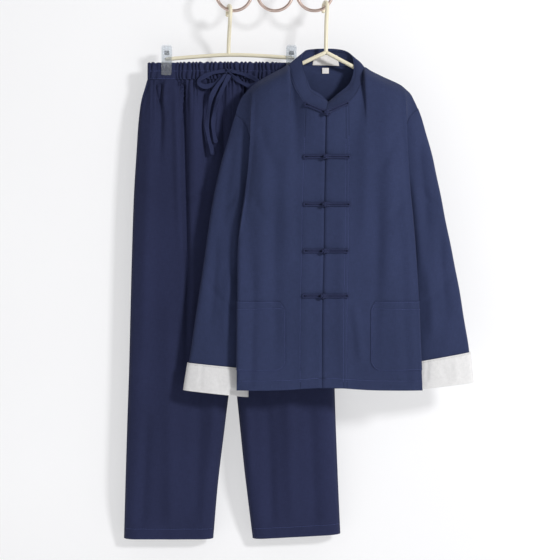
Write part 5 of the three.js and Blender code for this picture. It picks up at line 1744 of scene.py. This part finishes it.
@dataclass
class HangingGear:
    """The ring rail and two plastic hangers, in millimetres: wire rings, with hooks over the outer two."""

    ring_radius: float = 37.5
    ring_wire: float = 3.5
    link_wire: float = 3.0
    hanger_radius: float = 4.2
    hook_radius: float = 15.0
    hook_clear: float = 0.4
    centres: tuple[float, ...] = (-87.1, 0, 84)
    bar: Rows = ((-236, TROUSERS_Y, -170.5), (-170, TROUSERS_Y, -165), (-99.5, TROUSERS_Y, -161),
                  (-30, TROUSERS_Y, -163), (41, TROUSERS_Y, -168))

    @property
    def ring_z(self) -> float:
        """The height of the rings' middles."""
        return -self.ring_radius + self.ring_wire

    def build(self) -> None:
        """Makes the rail and both hangers."""
        self.rail()
        plastic = HANGER_PLASTIC.material()
        stem = [*self.hook(106.5, self.centres[2]), (108.5, -20, -95), (107.5, -25, -130), (107.3, -26, -165)]
        arms = [[(-44, -26.5, -245.5), (-27, -26.5, -230.5), (29.5, -26.5, -200.5), (107.3, -26.5, -164)],
                [(264, -26.5, -244.5), (243, -26.5, -232.5), (187, -26.5, -206), (107.3, -26.5, -164)]]
        self.hanger("jacket_hanger", stem, arms, plastic)
        stem = [*self.hook(-97.5, self.centres[0]), (-95, -8, -92), (-97, 10, -112), (-99, 24, -138),
                (-99.5, TROUSERS_Y, -162)]
        self.hanger("trouser_hanger", stem, [self.bar], plastic)

    def rail(self) -> None:
        """Three rings, each a circle of wire, with a short link between neighbours."""
        turn = np.linspace(0, 2 * np.pi, 96, endpoint=False)
        parts = []
        for x in self.centres:
            ring = np.stack([x + self.ring_radius * np.cos(turn), np.zeros(len(turn)),
                             self.ring_z + self.ring_radius * np.sin(turn)], -1)
            parts.append(tube("ring", ring, self.ring_wire, self.ring_wire, 20, True))
        for start, stop in zip(self.centres[:-1], self.centres[1:]):
            xs = np.linspace(start + self.ring_radius - 1, stop - self.ring_radius + 1, 8)
            line = np.stack([xs, np.zeros(8), np.full(8, self.ring_z)], -1)
            parts.append(tube("link", line, self.link_wire, self.link_wire, 16))
        dress(joined("look_ring_rail", parts), RAIL_METAL.material(), "rail_metal", "ring_rail")

    def hook(self, x: float, ring_x: float) -> list[tuple[float, float, float]]:
        """A hook's points: most of a circle over the ring's wire, seen nearly edge on.

        Args:
            x: Where the hook hangs.
            ring_x: The middle of its ring.
        Returns:
            Points from the hook's tip to its stem.
        """
        across = x - ring_x
        wire_z = self.ring_z - math.sqrt(self.ring_radius**2 - across**2)
        slope = math.sqrt(1 - (across / self.ring_radius) ** 2)
        top = wire_z + (self.ring_wire + self.hanger_radius + SEAM + self.hook_clear) / slope
        points = []
        for degrees in (200, 180, 150, 120, 90, 60, 30, 0):
            angle = math.radians(degrees)
            away, up = self.hook_radius * math.cos(angle), self.hook_radius * math.sin(angle)
            points.append((x + 0.25 * away, -away, top - self.hook_radius + up))
        return points

    def hanger(self, node: str, stem: Sequence, arms: Sequence, material: Material) -> None:
        """A moulded hanger: a round hook and stem that run into flattened arms.

        Args:
            node: The solid that it replaces.
            stem: Points from the hook's tip to the stem's foot.
            arms: The points of each arm or bar.
            material: Its plastic.
        """
        r = self.hanger_radius
        parts = [tube("stem", spline(stem, 110), r, r, 18)]
        parts += [tube("arm", spline(arm, 80), r, r * 0.92, 18) for arm in arms]
        dress(joined("look_" + node, parts), material, "hanger_plastic", node)


@dataclass
class Clips:
    """The trouser hanger's clear clips, in millimetres: a front and back jaw pinched by a coil spring."""

    places: tuple[tuple[str, float], ...] = (("left", -231.5), ("right", 35.0))
    width: float = 22.0
    plate: float = 2.2
    corner: float = 4.0
    rib: float = 0.25
    profile: Rows = ((-141.5, 9), (-164, 4.1), (-173, 4.1), (-177.5, 6.9), (-205.5, 6.9))
    spring_turns: int = 7
    spring_radius: float = 4.2
    spring_wire: float = 0.7
    spring_length: float = 12.0
    spring_z: float = -156.5

    def build(self) -> None:
        """Makes both clips' jaws and springs, each spring a helix across its clip."""
        clear, steel = CLEAR_PLASTIC.material(), SPRING_STEEL.material()
        for name, x in self.places:
            for label, forward in (("front", 1), ("back", -1)):
                self.jaw(f"clip_{label}_{name}", x, forward, clear)
            turn = np.linspace(0, 2 * np.pi * self.spring_turns, 220)
            coil = np.stack([x + (turn / turn[-1] - 0.5) * (self.spring_length - 2 * self.spring_wire),
                             TROUSERS_Y + self.spring_radius * np.cos(turn),
                             self.spring_z + self.spring_radius * np.sin(turn)], -1)
            spring = tube(f"look_clip_spring_{name}", coil, self.spring_wire, self.spring_wire, 8,
                          False, (1, 0, 0))
            dress(spring, steel, "spring_steel", f"clip_spring_{name}")

    def jaw(self, node: str, x: float, forward: int, material: Material) -> None:
        """A jaw: a bent plate with round corners, waisted by the spring and ribbed at its grip.

        Its distance from the trousers' middle plane is the profile's, smoothed over five rows, and a
        cosine of the height at the grip. Its half width shrinks at both ends by a quarter circle.

        Args:
            node: The solid that it replaces.
            x: The clip's middle.
            forward: 1 for the front jaw, -1 for the back one.
            material: Its plastic.
        """
        rows = np.asarray(self.profile, float)
        height = np.linspace(0, 1, 44)
        z = mix(rows[0, 0], rows[-1, 0], height)
        inner = np.interp(-z, -rows[:, 0], rows[:, 1])
        inner = np.convolve(np.pad(inner, 2, mode="edge"), np.ones(5) / 5, mode="valid")
        from_end = np.minimum(z[0] - z, z - z[-1])
        rounded = 1 - np.sqrt(1 - (1 - np.clip(from_end / self.corner, 0.02, 1)) ** 2)
        half = self.width / 2 - self.corner * rounded
        ribs = self.rib * np.cos((z[0] - z) * 2.2) * (z > -152)
        s = np.linspace(-1, 1, 17)
        y = TROUSERS_Y - forward * (inner + self.plate / 2 + ribs)
        points = np.stack([x + half[:, None] * s, y[:, None] + 0 * s, z[:, None] + 0 * s], -1)
        dress(wall("look_" + node, Cloth(points, -forward), self.plate), material, "clear_plastic", node)


@dataclass(frozen=True)
class Lamp:
    """A square lamp in metres and watts, turned to the garments' middle."""

    name: str
    place: tuple[float, float, float]
    size: float
    power: float


@dataclass
class Studio:
    """A pale wall and floor, light from the upper right, and the photograph's camera, in metres."""

    wall_y: float = 0.075
    wall_top: float = 1.6
    floor_z: float = -1.42
    floor_front: float = -4.0
    cove: float = 0.35
    half_width: float = 3.0
    camera_place: tuple[float, float, float] = (0.0106, -3.0, -0.6424)
    lens: float = 90.97
    lamps: tuple[Lamp, ...] = (Lamp("key", (2.35, -2.8, 0.75), 0.55, 96.0),
                               Lamp("fill", (-2.2, -2.8, 0.1), 2.2, 5.5))
    lit_place: tuple[float, float, float] = (0.02, 0.0, -0.6)
    sky: str = "#f7f8fb"
    sky_strength: float = 0.27

    def build(self) -> None:
        """Makes the camera first, then the light and the backdrop."""
        self.camera()
        self.light()
        self.backdrop()

    def camera(self) -> None:
        """A level camera that looks straight at the wall from 3 m."""
        data = bpy.data.cameras.new("camera")
        data.lens = self.lens
        data.sensor_width = 36
        made = bpy.data.objects.new("camera", data)
        made.location = self.camera_place
        made.rotation_euler = (math.radians(90), 0, 0)
        bpy.context.scene.collection.objects.link(made)
        bpy.context.scene.camera = made

    def light(self) -> None:
        """A strong lamp from the upper right, a large faint one from the left, and a white sky.

        The picture keeps Blender's plain Standard tones, so that the pale wall stays white.
        """
        for lamp in self.lamps:
            data = bpy.data.lights.new(lamp.name, "AREA")
            data.size = lamp.size
            data.energy = lamp.power
            made = bpy.data.objects.new(lamp.name, data)
            made.location = lamp.place
            aim = np.array(self.lit_place) - np.array(lamp.place)
            flat = math.hypot(aim[0], aim[1])
            made.rotation_euler = (math.atan2(flat, -aim[2]), 0, math.atan2(aim[1], aim[0]) - math.pi / 2)
            bpy.context.scene.collection.objects.link(made)
        world = bpy.data.worlds.new("studio")
        world.use_nodes = True
        world.node_tree.nodes["Background"].inputs[0].default_value = linear(self.sky)
        world.node_tree.nodes["Background"].inputs[1].default_value = self.sky_strength
        bpy.context.scene.world = world
        bpy.context.scene.view_settings.view_transform = "Standard"

    def backdrop(self) -> None:
        """One sheet: a wall that curves into the floor, a quarter circle between two flats.

        Its faces are turned towards the room, because the wall's paint is clear from behind.
        """
        angle = np.linspace(0, np.pi / 2, 16)
        y = np.concatenate([[self.wall_y], self.wall_y - self.cove * (1 - np.cos(angle)),
                            [self.floor_front]])
        z = np.concatenate([[self.wall_top], self.floor_z + self.cove * (1 - np.sin(angle)),
                            [self.floor_z]])
        x = np.linspace(-self.half_width, self.half_width, 9)
        shape = (len(y), len(x))
        points = np.stack([np.broadcast_to(x, shape), np.broadcast_to(y[:, None], shape),
                           np.broadcast_to(z[:, None], shape)], -1) / MM
        number = np.arange(points[..., 0].size).reshape(shape)
        places = corner_uv(arc_lengths(points, False))
        sheet = new_object("backdrop", points.reshape(-1, 3), quads_of(number), places, (), 70.0)
        sheet.data.flip_normals()
        sheet.data.materials.append(WALL_PAINT.material())
        LOG.info("%s: %d faces", sheet.name, len(sheet.data.polygons))


def main() -> None:
    """Builds the scene: camera, drawstring, then every sub-assembly."""
    logging.basicConfig(level=logging.INFO, format="%(name)s %(message)s")
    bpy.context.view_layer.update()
    LOG.info("%d solids in the frame", len(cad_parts))
    jacket = Jacket()
    for part in (Studio(), Drawstring(), jacket, Frogs(jacket), Trousers(), HangingGear(), Clips()):
        part.build()
        LOG.info("built %s", type(part).__name__)


if __name__ == "__main__":
    main()
